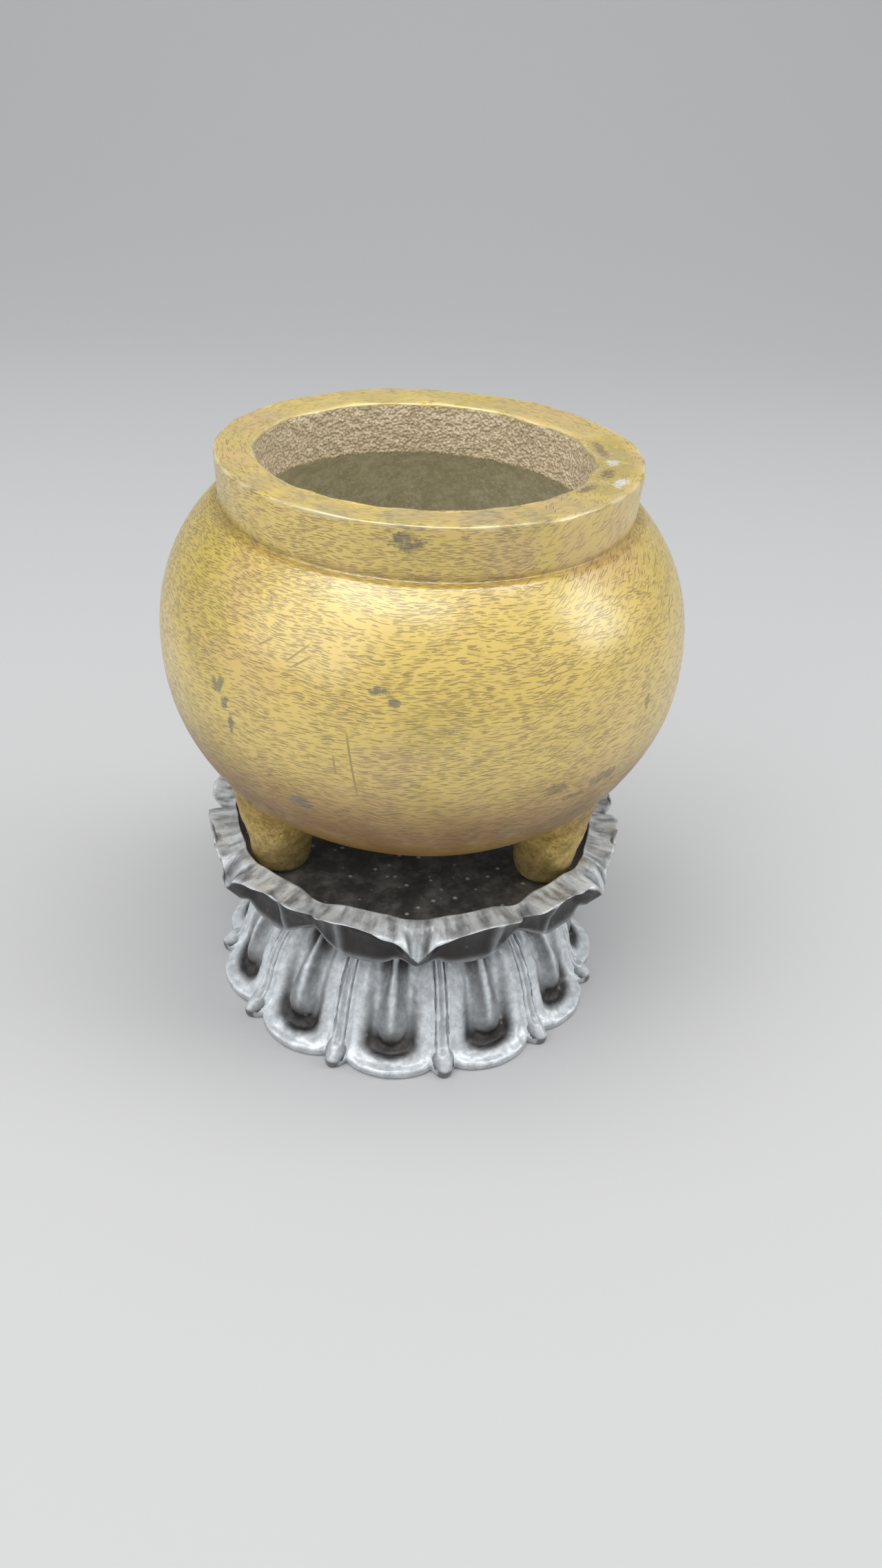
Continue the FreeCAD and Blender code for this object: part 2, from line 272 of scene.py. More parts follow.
# Ragged band along the rim, and cut marks on the carved faces
BAND_DEPTH = 0.16
BAND_LENGTH = 6.0
CUT_DEPTH = 0.14
CUT_LENGTH = 9.0
CUT_FROM = (45, 47)

# Lower tier of the stand: hanging petals with a narrow leaf between each two
BASE_PETALS = 11
BASE_LEAF_AZIMUTH = 12.0
BASE_WAIST_RADIUS = 36.2
# The skirt's profile, as radius and height: its upper bend, its bulge and the bend before its tip
SKIRT_BEND = (44.0, 24.0)
SKIRT_BULGE = (47.2, 14.2)
SKIRT_TURN = (49.2, 5.2)
SKIRT_POINTS = 60
SKIRT_STEP = 0.55
TIP_Z = 2.3
TIP_ROUND = 3.2
TIP_TAPER = 1.1
TIP_THINNING = 0.3
LOWEST_EDGE = 0.7
PETAL_HALF_ANGLE = 14.3
PETAL_SIDE = 0.3
PETAL_DEPTH = 2.4
PETAL_BORDER = 3.4
PETAL_CORNER = 1.2
PETAL_TIP_INSET = 0.6
LIP_HEIGHT = 0.45
LIP_WIDTH = 0.8
BORDER_DIP = 0.3
BORDER_DIP_SPAN = (1.0, 3.2)
HOLLOW_DEPTH = 2.1
HOLLOW_SLOPE = 3.6
BOSS_SETBACK = 6.0
BOSS_RAISE = 2.3
BOSS_ROUND = 5.5
BOSS_NECK = 1.3
BOSS_SWELL = 3.1
POOL_DEPTH = 0.9
POOL_HALF_WIDTH = 5.0
POOL_HALF_LENGTH = 2.6
POOL_SHIFT = 0.6
# Leaves: half-width at the top, gain down to the tip, and the bud at the end
LEAF_HALF_WIDTH = 1.1
LEAF_GAIN = 0.6
LEAF_DEPTH = 0.7
LEAF_RIDGE = 0.66
BUD_SWELL = 1.6
BUD_AT = 0.93
BUD_HEIGHT = 0.9
BUD_SETBACK = 0.2
BUD_POINT = 0.26
BASE_TOP_RADII = (1.0, 20.0)
BASE_UNDER_RADII = (30.0, 15.0, 1.0)
# The edge under the tips: offset from the tip's radius, and share of its height
BASE_EDGE = ((0.12, 0.75), (0.1, 0.4), (-0.2, 0.12), (-0.9, 0.0), (-5.0, 0.0))
# Columns round a leaf, and layers of unevenness, given as for the dish and the legs
BASE_COLUMNS = (3.6, 44, 56)
BASE_UNEVEN = ((0.12, 7.0, 51), (0.05, 2.6, 53))

floor_z = leg_low.z
rim_z = bowl_high.z
belly_z = bowl_low.z + BELLY_DROP
shoulder_share = (SHOULDER_RADIUS / BELLY_RADIUS) ** BELLY_RISE_POWER
crease_z = belly_z + BELLY_RISE * (1 - shoulder_share) ** (1 / BELLY_RISE_POWER) + CREASE_RISE


# Helpers for shapes

def ease(low, high, value):
    """0 below low, 1 above high, and a smooth rise between."""
    t = np.clip((value - low) / (high - low), 0, 1)
    return t * t * (3 - 2 * t)


def plateau(rise, fall, value):
    """1 between two spans, with a smooth rise over the first and a smooth fall over the second."""
    return ease(*rise, value) * (1 - ease(*fall, value))


def hump(value, width):
    """1 at zero, falling off smoothly over about that width."""
    return np.exp(-((value / width) ** 2))


def soft_least(a, b, reach):
    """The smaller of two lengths, with a rounded change over that reach."""
    return -reach * np.log(np.exp(-a / reach) + np.exp(-b / reach))


def ripple(points, wavelength, seed, waves=9):
    """Smooth seeded unevenness of about unit size over an array of points."""
    rng = np.random.default_rng(seed)
    heading = rng.normal(size=(waves, 3))
    heading /= np.linalg.norm(heading, axis=1)[:, None]
    pace = rng.uniform(0.7, 1.4, waves)
    phase = rng.uniform(0, 2 * np.pi, waves)
    total = np.zeros(points.shape[:-1])
    for k in range(waves):
        total += np.sin(points @ heading[k] * (2 * np.pi * pace[k] / wavelength) + phase[k])
    return total / math.sqrt(waves / 2)


def lumps(points, layers):
    """Layers of unevenness together, each a depth, a wavelength and a seed."""
    return sum(depth * ripple(points, wavelength, seed) for depth, wavelength, seed in layers)


def spaced(points, step):
    """The same line, with points about one step apart."""
    points = np.asarray(points, float)
    run = np.concatenate([[0], np.cumsum(np.linalg.norm(np.diff(points, axis=0), axis=1))])
    at = np.linspace(0, run[-1], max(2, round(run[-1] / step) + 1))
    return np.stack([np.interp(at, run, points[:, i]) for i in range(points.shape[1])], axis=1)


def softened(line, reach):
    """The line with its corners rounded over that many points to each side."""
    padded = np.pad(line, ((reach, reach), (0, 0)), mode="reflect", reflect_type="odd")
    share = np.full(2 * reach + 1, 1 / (2 * reach + 1))
    return np.stack([np.convolve(padded[:, i], share, "valid") for i in (0, 1)], axis=1)


def curve(t, a, corner, b):
    """The place on a soft corner from a to b, at that share of the way."""
    return (1 - t) ** 2 * a + 2 * t * (1 - t) * corner + t ** 2 * b


def bend(a, corner, b, count=24):
    """A soft corner from a to b as a line of points."""
    return curve(np.linspace(0, 1, count)[:, None], np.array(a), np.array(corner), np.array(b))


def wrapped(degrees, period):
    """Degrees brought to within half a period of zero."""
    return (degrees + period / 2) % period - period / 2


def even_turn(columns):
    """Evenly spaced azimuths in radians, with the seam at the back."""
    return np.linspace(-np.pi, np.pi, columns, endpoint=False)


def fine_turn(count, first, fine_half, fine, coarse):
    """Azimuths in radians that lie closer together round each of the repeated features."""
    pitch = 360 / count
    near = np.linspace(-fine_half, fine_half, fine, endpoint=False)
    far = np.linspace(fine_half, pitch - fine_half, coarse, endpoint=False)
    every = first + np.concatenate([near, far])[None] + pitch * np.arange(count)[:, None]
    return np.radians(np.sort(wrapped(every.ravel(), 360)))


def around(radius, z, turn):
    """Points at those azimuths, from radius and height."""
    return np.stack([radius * np.sin(turn), -radius * np.cos(turn), z + 0 * turn], axis=-1)


def side_of(rows):
    """Unit directions out of the surface at each point of a grid whose rows go up the outside."""
    along = np.gradient(rows, axis=0)
    across = np.roll(rows, -1, axis=1) - np.roll(rows, 1, axis=1)
    out = np.cross(across, along)
    return out / np.maximum(np.linalg.norm(out, axis=-1, keepdims=True), TINY)


def grid_faces(count, columns):
    """Quads between neighbouring rows, and a fan over each end."""
    j = np.arange(columns)
    k = (j + 1) % columns
    i = np.arange(count - 1)[:, None] * columns
    quads = np.stack([i + j, i + k, i + columns + k, i + columns + j], axis=-1).reshape(-1, 4)
    top = (count - 1) * columns
    first = np.stack([k, j, np.full(columns, count * columns)], axis=-1)
    last = np.stack([top + j, top + k, np.full(columns, count * columns + 1)], axis=-1)
    return quads.tolist() + first.tolist() + last.tolist()


def grid_map(rows, turn):
    """Distance round and along the surface in millimetres, for each corner of each face."""
    count, columns = rows.shape[:2]
    radius = np.linalg.norm(rows[..., :2], axis=-1).mean(1).max()
    u = np.append(turn, turn[0] + 2 * np.pi) * radius
    v = np.append(0, np.cumsum(np.linalg.norm(np.diff(rows, axis=0), axis=2).mean(1)))
    quads = np.zeros((count - 1, columns, 4, 2))
    quads[..., 0] = np.stack([u[:-1], u[1:], u[1:], u[:-1]], axis=-1)[None]
    quads[..., 1] = np.stack([v[:-1], v[:-1], v[1:], v[1:]], axis=-1)[:, None]
    fans = np.zeros((2, columns, 3, 2))
    fans[..., 0] = np.stack([u[1:], u[:-1], u[:-1]], axis=-1)
    fans[1, ..., 1] = v[-1]
    return np.concatenate([quads.ravel(), fans.ravel()])


def surface(name, rows, turn, marks, zones, materials):
    """A closed mesh from rows of points. Each row's zone names its material, and marks are kept by point."""
    count, columns = rows.shape[:2]
    ends = np.stack([rows[0].mean(0), rows[-1].mean(0)])
    points = np.concatenate([rows.reshape(-1, 3), ends])
    faces = grid_faces(count, columns)
    mesh = bpy.data.meshes.new(name)
    mesh.from_pydata((points * MM).tolist(), [], faces)
    mesh.uv_layers.new(name="surface").data.foreach_set("uv", grid_map(rows, turn))
    for mark, values in marks.items():
        values = np.concatenate([values.ravel(), [values[0].mean(), values[-1].mean()]])
        attribute = mesh.attributes.new(mark, "FLOAT", "POINT")
        attribute.data.foreach_set("value", values.astype(np.float32))
    names = list(materials)
    for zone in names:
        mesh.materials.append(materials[zone])
    index = np.array([names.index(zone) for zone in zones])
    index = np.concatenate([np.repeat(index[1:], columns), np.repeat(index[[0, -1]], columns)])
    mesh.polygons.foreach_set("material_index", index.astype(np.int32))
    mesh.polygons.foreach_set("use_smooth", np.ones(len(faces), bool))
    mesh.update()
    piece = bpy.data.objects.new(name, mesh)
    bpy.context.scene.collection.objects.link(piece)
    return piece


def dress(piece, body, node):
    """Lets a piece stand for a node: it rides on the node's body, and the node's own part is hidden."""
    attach(piece, body)
    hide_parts(node)


# Materials

class Graph:
    """Short calls that build one material's nodes."""

    def __init__(self, name):
        self.material = bpy.data.materials.new(name)
        self.material.use_nodes = True
        self.tree = self.material.node_tree
        self.shader = self.tree.nodes["Principled BSDF"]

    def feed(self, socket, value):
        if isinstance(value, bpy.types.NodeSocket):
            self.tree.links.new(value, socket)
        elif socket.type == "RGBA":
            socket.default_value = (*value, 1.0)
        else:
            socket.default_value = value

    def add(self, kind, inputs, **settings):
        node = self.tree.nodes.new("ShaderNode" + kind)
        for key, value in settings.items():
            setattr(node, key, value)
        for key, value in inputs.items():
            self.feed(node.inputs[key], value)
        return node

    def set(self, **values):
        for key, value in values.items():
            self.feed(self.shader.inputs[key.replace("_", " ")], value)

    def math(self, operation, a, b=0.0):
        return self.add("Math", {0: a, 1: b}, operation=operation).outputs[0]

    def times(self, a, b):
        return self.math("MULTIPLY", a, b)

    def plus(self, a, b):
        return self.math("ADD", a, b)

    def sum(self, start, *parts):
        """A starting value plus each part, which is a value and its share."""
        for value, share in parts:
            start = self.plus(start, self.times(value, share))
        return start

    def most(self, values):
        """The largest of several values."""
        largest = values[0]
        for value in values[1:]:
            largest = self.math("MAXIMUM", largest, value)
        return largest

    def span(self, value, low, high, to_low=0.0, to_high=1.0):
        """A smooth step of value from one span to another."""
        ends = {"From Min": low, "From Max": high, "To Min": to_low, "To Max": to_high}
        node = self.add("MapRange", {"Value": value, **ends}, interpolation_type="SMOOTHSTEP")
        return node.outputs["Result"]

    def fade(self, value, low, high):
        """1 below low, 0 above high, and a smooth fall between."""
        return self.span(value, low, high, 1.0, 0.0)

    def between(self, value, at_zero, at_one):
        """A smooth step from one number to another while the value goes from 0 to 1."""
        return self.span(value, 0.0, 1.0, at_zero, at_one)

    def mix(self, share, a, b):
        return self.add("Mix", {0: share, 6: a, 7: b}, data_type="RGBA").outputs[2]

    def cover(self, colour, tone, share, strength):
        """A colour under a tone that covers it by that share times the strength."""
        return self.mix(self.times(share, strength), colour, tone)

    def noise(self, vector, kind):
        scale, detail, roughness = kind
        inputs = {"Vector": vector, "Scale": scale, "Detail": detail, "Roughness": roughness}
        return self.add("TexNoise", inputs).outputs[0]

    def patches(self, vector, kind, to_low=0.0, to_high=1.0):
        """Cloudy patches: noise of that kind, stepped between the two levels that the kind ends with."""
        *grain, low, high = kind
        return self.span(self.noise(vector, grain), low, high, to_low, to_high)

    def place(self):
        """Where a point is on the object, in millimetres."""
        spot = self.add("TexCoord", {}).outputs["Object"]
        return self.add("VectorMath", {0: spot, "Scale": 1 / MM}, operation="SCALE").outputs[0]

    def stretched(self, vector, factors):
        return self.add("VectorMath", {0: vector, 1: factors}, operation="MULTIPLY").outputs[0]

    def split(self, vector):
        return self.add("SeparateXYZ", {0: vector}).outputs

    def along(self):
        """Distance round the surface and along its profile, in millimetres."""
        u, v, _ = self.split(self.add("UVMap", {}, uv_map="surface").outputs[0])
        return u, v

    def mark(self, name):
        return self.add("Attribute", {}, attribute_name=name).outputs["Fac"]

    def bump(self, height, depth):
        """A surface relief of that depth in millimetres."""
        node = self.add("Bump", {"Height": height, "Distance": depth * MM})
        self.set(Normal=node.outputs[0])


# Colours of the bronze
OCHRE = (0.77, 0.555, 0.115)
OLIVE_GOLD = (0.67, 0.495, 0.08)
ROSE_TAN = (0.70, 0.465, 0.16)
RIM_BROWN = (0.36, 0.30, 0.16)
LEG_TAN = (0.58, 0.44, 0.22)
# Rose-brown of the lower belly, where it is partly patina and partly painted shade; the legs' tops use it
# too
ROSE_BROWN = (0.255, 0.13, 0.02)
STROKE_BROWN = (0.185, 0.10, 0.015)
OXIDE_GREY = (0.16, 0.165, 0.145)
# Bright gold of worn edges, which also paints their highlight lines
WORN_GOLD_AND_SHEEN = (0.86, 0.74, 0.42)
POLISHED_OLIVE = (0.58, 0.42, 0.03)
# Painted glint: white highlight spots on the polished patch
PAINTED_GLINT = (0.92, 0.90, 0.84)
# Casting colours, painted lighter to stand in for light that barely reaches the throat; the darker one is
# painted shade in the grain's hollows
CASTING_PALE = (0.86, 0.72, 0.50)
CASTING_DARK = (0.62, 0.50, 0.335)
# Inside colours, painted light: pale to stand in for light that hardly reaches the hollow, over real pale
# dust
INSIDE_OLIVE = (0.62, 0.58, 0.43)
INSIDE_PALE = (0.88, 0.85, 0.70)
INSIDE_WHITE = (0.97, 0.95, 0.88)

# Colours of the wood
WOOD_BLACK = (0.012, 0.011, 0.0115)
WOOD_BROWN = (0.024, 0.019, 0.017)
# Silvery grey of the worn wood, which is also painted sheen
WOOD_WORN_AND_SHEEN = (0.85, 0.90, 0.93)
DUST_GREY = (0.30, 0.285, 0.26)
LINT_GREY = (0.62, 0.60, 0.56)
DOWEL_DARK = (0.20, 0.13, 0.07)
DOWEL_PALE = (0.34, 0.24, 0.14)

# Kinds of noise: features per millimetre, detail and roughness
ROW_WAVES = (0.035, 2.0, 0.55)
PIT_GRAIN = (1.0, 5.0, 0.8)
STAIN_GRAIN = (0.9, 5.0, 0.8)
OXIDE_GRAIN = (0.5, 5.0, 0.7)
GLOSS_CLOUDS = (0.12, 4.0, 0.55)
BRONZE_GRAIN = (0.9, 3.0, 0.55)
LEG_GRAIN = (0.8, 4.0, 0.55)
CASTING_GRIT = (2.0, 4.0, 0.65)
INSIDE_LUMPS = (0.6, 4.0, 0.55)
WOOD_GRAIN = (0.5, 5.0, 0.65)
WOOD_SKIN = (1.2, 3.0, 0.55)
KNIFE_CUTS = (1.0, 3.0, 0.5)
DOWEL_GRAIN = (0.8, 4.0, 0.6)

# Kinds of patches: the same, and the levels of noise at which a patch begins and is full
OLIVE_DRIFT = (0.03, 2.0, 0.55, 0.42, 0.66)
ROSE_BLUSH = (0.045, 3.0, 0.55, 0.48, 0.68)
BROWN_MOTTLE = (0.3, 5.0, 0.65, 0.52, 0.74)
STROKE_CROWDS = (0.08, 3.0, 0.55, 0.32, 0.62)
LOW_CLOUDS = (0.06, 3.0, 0.55, 0.3, 0.6)
HANDLED_FILM = (0.12, 5.0, 0.65, 0.38, 0.64)
POLISH_PATCHES = (0.3, 3.0, 0.55, 0.3, 0.5)
# Patches of the painted shade along the crease
CREASE_SHADE_PATCHES = (0.3, 4.0, 0.55, 0.3, 0.6)
LEG_BLOTCHES = (0.3, 5.0, 0.7, 0.4, 0.66)
LEG_PITS = (1.3, 4.0, 0.7, 0.54, 0.7)
INSIDE_DUST = (0.3, 6.0, 0.75, 0.4, 0.68)
INSIDE_FLECKS = (0.9, 5.0, 0.8, 0.5, 0.64)
FLECKED_AREAS = (0.05, 3.0, 0.55, 0.35, 0.55)
# Patches of the wear and its painted sheen
WORN_AND_SHEEN_PATCHES = (0.4, 5.0, 0.7, 0.3, 0.7)
DUST_FILM = (0.14, 5.0, 0.7, 0.4, 0.7)

# Tool strokes: shift between rows, wander off a row's middle, tightness along and across, and the faintest
STROKE_SHIFT = 7.0
STROKE_WANDER = 0.15
STROKE_SHORTEST = 3.6
STROKE_LONGEST = 2.1
STROKE_THINNESS = 4.2
STROKE_EDGE = (0.35, 1.0)
STROKE_FAINTEST = 0.45
ROW_DRIFT = 6.0
SPARSE_CROWD = 0.4
DENSE_CROWD = 0.84
# Layers of strokes: length, pitch of the rows, slant, seed, and share of the places that have a stroke
LEVEL_LAYERS = (
    (4.6, 0.60, 0.02, 3.1, 0.85),
    (3.6, 0.50, -0.10, 17.7, 0.68),
    (4.2, 0.54, 0.12, 41.3, 0.68),
    (3.0, 0.46, 0.05, 29.9, 0.68),
)
STEEP_LAYERS = (
    (4.6, 0.58, 0.42, 67.9, 0.68),
    (4.0, 0.62, 0.60, 83.3, 0.68),
)
SCRATCH_ENDS = (0.3, 0.5)
SCRATCH_WIDTH = (0.1, 0.28)
# Spots: a start beyond all of them, how far their edges are torn, and where they fade and end
SPOT_FAR = 9.0
SPOT_TEAR = 7.0
SPOT_FADE = (0.2, 1.3)
SPOT_END = (1.4, 3.2)
# Depths under the belly's widest level between which its lower rose-brown, partly patina and partly painted
# shade, fades out
LOW_BROWN_AND_SHADE = (26, 2)


def tool_strokes(g, u, v, length, pitch, slant, seed, share):
    """Short dark strokes of a chasing tool in rows one pitch apart, in that share of their places."""
    across = g.times(g.plus(v, g.times(u, -slant)), 1 / pitch)
    row = g.math("FLOOR", across)
    shift = g.add("TexWhiteNoise", {"W": g.plus(row, seed)}, noise_dimensions="1D").outputs["Value"]
    along = g.plus(g.times(u, 1 / length), g.times(shift, STROKE_SHIFT))
    spot = g.add("CombineXYZ", {0: g.math("FLOOR", along), 1: row, 2: seed}).outputs[0]
    luck = g.add("TexWhiteNoise", {"Vector": spot}, noise_dimensions="3D").outputs["Color"]
    luck = g.add("SeparateColor", {0: luck}).outputs
    off_middle = g.plus(g.math("FRACT", along), -0.5)
    off_row = g.plus(g.math("FRACT", across), g.between(luck[1], -0.5 - STROKE_WANDER, -0.5 + STROKE_WANDER))
    far = g.times(off_middle, g.between(luck[2], STROKE_SHORTEST, STROKE_LONGEST))
    wide = g.times(off_row, STROKE_THINNESS)
    shape = g.fade(g.plus(g.times(far, far), g.times(wide, wide)), *STROKE_EDGE)
    chosen = g.math("GREATER_THAN", share, luck[0])
    return g.times(g.times(shape, chosen), g.between(luck[1], STROKE_FAINTEST, 1.0))


def chasing(g, place, u, v):
    """Crowded tool strokes: level on most of the bowl, slanting on its right, rubbed off by wear."""
    v = g.plus(v, g.times(g.plus(g.noise(place, ROW_WAVES), -0.5), ROW_DRIFT))
    crowd = g.times(g.patches(place, STROKE_CROWDS, SPARSE_CROWD, DENSE_CROWD), g.mark("chased"))
    slanted = g.mark("slanted")
    level = g.times(crowd, g.between(slanted, 1.0, 0.12))
    steep = g.times(crowd, slanted)
    strokes = []
    for layers, places in ((LEVEL_LAYERS, level), (STEEP_LAYERS, steep)):
        for length, pitch, slant, seed, share in layers:
            strokes.append(tool_strokes(g, u, v, length, pitch, slant, seed, g.times(places, share)))
    return g.times(g.most(strokes), g.span(g.mark("wear_and_sheen"), 0.2, 0.8, 1.0, 0.1))


def scratch(g, u, height, start, start_z, end, end_z):
    """A thin straight scratch between two places, each an azimuth and a height."""
    run = np.array([math.radians(end - start) * BELLY_RADIUS, end_z - start_z])
    length = float(np.linalg.norm(run))
    run_u, run_z = (run / length).tolist()
    from_u = g.plus(u, -math.radians(start) * BELLY_RADIUS)
    from_z = g.plus(height, -start_z)
    along = g.plus(g.times(from_u, run_u), g.plus(g.times(from_z, run_z), -length / 2))
    across = g.plus(g.times(from_u, -run_z), g.times(from_z, run_u))
    inside = g.fade(g.math("ABSOLUTE", along), *(length * share for share in SCRATCH_ENDS))
    return g.times(inside, g.fade(g.math("ABSOLUTE", across), *SCRATCH_WIDTH))


def ragged_spots(g, u, height, places, grain):
    """Oval places with torn edges, each an azimuth, a height and two half-sizes."""
    nearest = SPOT_FAR
    for azimuth, level, half_angle, half_up in places:
        aside = g.plus(g.times(u, math.degrees(1 / BELLY_RADIUS) / half_angle), -azimuth / half_angle)
        above = g.plus(g.times(height, 1 / half_up), -level / half_up)
        apart = g.plus(g.times(aside, aside), g.times(above, above))
        nearest = g.math("MINIMUM", apart, nearest)
    torn = g.plus(nearest, g.times(g.plus(grain, -0.5), SPOT_TEAR))
    return g.times(g.fade(torn, *SPOT_FADE), g.fade(nearest, *SPOT_END))


def bronze_colour(g, place):
    """Ochre bronze that drifts to olive and rose, with fine brown mottling."""
    colour = g.mix(g.patches(place, OLIVE_DRIFT), OCHRE, OLIVE_GOLD)
    colour = g.cover(colour, ROSE_TAN, g.patches(place, ROSE_BLUSH), 0.7)
    return g.cover(colour, STROKE_BROWN, g.patches(place, BROWN_MOTTLE), 0.3)


def handled_rim(g, place, behind, height):
    """Brown film on the rim's top where hands touch it, strongest in front."""
    film = g.times(g.patches(place, HANDLED_FILM), g.span(height, rim_z - 1.0, rim_z - 0.6))
    return g.times(film, g.span(behind, -COLLAR_RADIUS, 0.0, 0.75, 0.2))


def polished_rim(g, place, u, height, polish, colour):
    """The colour with the rim's polished olive patch, its dark pits that are partly painted shade along the
    inner edge, and its painted glints.
    """
    colour = g.mix(polish, colour, POLISHED_OLIVE)
    flat = g.stretched(place, (1.0, 1.0, 0.0))
    reach = g.add("VectorMath", {0: flat}, operation="LENGTH").outputs["Value"]
    torn = g.noise(place, PIT_GRAIN)
    on_top = g.span(height, rim_z - 1.2, rim_z - 0.8)
    # Dark pits, partly painted shade, then painted glints
    for spots, tone, strength in ((PIT_AND_SHADE_SPOTS, STROKE_BROWN, 0.85), (PAINTED_GLINT_SPOTS, PAINTED_GLINT, 0.8)):
        colour = g.cover(colour, tone, g.times(ragged_spots(g, u, reach, spots, torn), on_top), strength)
    return colour


def chased_bronze():
    """The bowl's outside: satin bronze under countless short tool strokes."""
    g = Graph("chased_bronze")
    place = g.place()
    u, v = g.along()
    _, behind, height = g.split(place)
    scratches = [g.times(scratch(g, u, height, *ends), g.mark("chased")) for ends in SCRATCHES]
    strokes = g.most([chasing(g, place, u, v), *scratches])
    # The belly darkens to rose-brown towards the bottom: partly real patina, partly painted shade on the
    # underside
    low = g.fade(height, *(belly_z - depth for depth in LOW_BROWN_AND_SHADE))
    low = g.times(low, g.patches(place, LOW_CLOUDS, 0.8, 1.0))
    polish = g.times(g.mark("polish"), g.patches(place, POLISH_PATCHES))
    stain = ragged_spots(g, u, height, STAIN_SPOTS, g.noise(place, STAIN_GRAIN))
    # Painted shade: a patchy brown band along the crease under the collar
    crease_shade = g.times(g.mark("crease_shade"), g.patches(place, CREASE_SHADE_PATCHES, 0.5, 1.0))
    oxide = ragged_spots(g, u, height, OXIDE_SPOTS, g.noise(place, OXIDE_GRAIN))
    wear_and_sheen = g.mark("wear_and_sheen")
    colour = g.mix(low, bronze_colour(g, place), ROSE_BROWN)
    colour = g.mix(handled_rim(g, place, behind, height), colour, RIM_BROWN)
    colour = g.cover(colour, STROKE_BROWN, strokes, 0.62)
    colour = polished_rim(g, place, u, height, polish, colour)
    colour = g.cover(colour, STROKE_BROWN, stain, 0.75)
    colour = g.cover(colour, STROKE_BROWN, crease_shade, 0.55)
    colour = g.cover(colour, OXIDE_GREY, oxide, 0.72)
    # Worn gold on the edges, partly painted highlight
    colour = g.cover(colour, WORN_GOLD_AND_SHEEN, wear_and_sheen, 0.75)
    rough = g.sum(0.36, (g.noise(place, GLOSS_CLOUDS), 0.14), (strokes, 0.12), (oxide, 0.15))
    rough = g.sum(rough, (wear_and_sheen, -0.14), (polish, -0.24))
    fine = g.times(g.noise(place, BRONZE_GRAIN), g.sum(0.3, (polish, 4.0)))
    g.bump(g.plus(g.times(strokes, -1.0), fine), 0.16)
    g.set(Base_Color=colour, Roughness=rough, Metallic=0.12)
    g.set(Coat_Weight=g.sum(0.8, (polish, 0.2), (g.most([low, oxide]), -0.6)))
    g.set(Coat_Roughness=0.27, Coat_IOR=2.1)
    return g.material


def leg_bronze():
    """The legs: bronze without strokes, mottled brown."""
    g = Graph("leg_bronze")
    place = g.place()
    height = g.split(place)[2]
    blotch = g.patches(place, LEG_BLOTCHES)
    pits = g.patches(place, LEG_PITS)
    foot = g.span(height, floor_z, bowl_low.z + 10, 0.75, 0.3)
    colour = g.mix(foot, bronze_colour(g, place), LEG_TAN)
    colour = g.mix(g.span(height, floor_z + 10, bowl_low.z + 16, 0.0, 0.5), colour, ROSE_BROWN)
    colour = g.cover(colour, STROKE_BROWN, g.most([blotch, pits]), 0.52)
    g.bump(g.sum(g.noise(place, LEG_GRAIN), (pits, -0.6)), 0.28)
    g.set(Base_Color=colour, Roughness=g.sum(0.4, (blotch, 0.16)), Metallic=0.35)
    return g.material


def rough_casting():
    """The throat inside the mouth: the grainy skin of the casting, never filed smooth. Its colours are
    painted light to lift the dim throat, and the grain's hollows get painted shade.
    """
    g = Graph("rough_casting")
    place = g.place()
    grain = g.add("TexVoronoi", {"Vector": place, "Scale": 1.5}, feature="SMOOTH_F1").outputs["Distance"]
    hollow = g.sum(g.span(grain, 0.2, 0.75), (g.noise(place, CASTING_GRIT), 0.6))
    wear_and_sheen = g.mark("wear_and_sheen")
    # Painted shade in the grain's hollows, following its relief
    colour = g.mix(g.span(hollow, 0.35, 1.05), CASTING_PALE, CASTING_DARK)
    # Worn gold at the throat's foot, partly a painted highlight line
    colour = g.cover(colour, WORN_GOLD_AND_SHEEN, wear_and_sheen, 0.8)
    g.bump(g.times(hollow, -1.0), 0.3)
    g.set(Base_Color=colour, Roughness=g.between(wear_and_sheen, 0.6, 0.36), Metallic=0.15)
    return g.material


def bowl_inside():
    """The inside below the throat: dull olive grey with dusty mottling. Its colours are painted light: made
    pale to stand in for light that hardly reaches the hollow.
    """
    g = Graph("bowl_inside")
    place = g.place()
    dust = g.patches(place, INSIDE_DUST)
    flecks = g.times(g.patches(place, INSIDE_FLECKS), g.patches(place, FLECKED_AREAS))
    colour = g.cover(g.mix(dust, INSIDE_OLIVE, INSIDE_PALE), INSIDE_WHITE, flecks, 0.85)
    g.bump(g.noise(place, INSIDE_LUMPS), 0.5)
    g.set(Base_Color=colour, Roughness=g.between(dust, 0.55, 0.8), Metallic=0.1)
    return g.material


def lint(g, place):
    """Scattered specks, in fewer than half of the cells that they may lie in."""
    cells = g.add("TexVoronoi", {"Vector": place, "Scale": 0.34}).outputs
    luck = g.add("SeparateColor", {0: cells["Color"]}).outputs[0]
    return g.times(g.fade(cells["Distance"], 0.1, 0.26), g.math("GREATER_THAN", luck, 0.55))


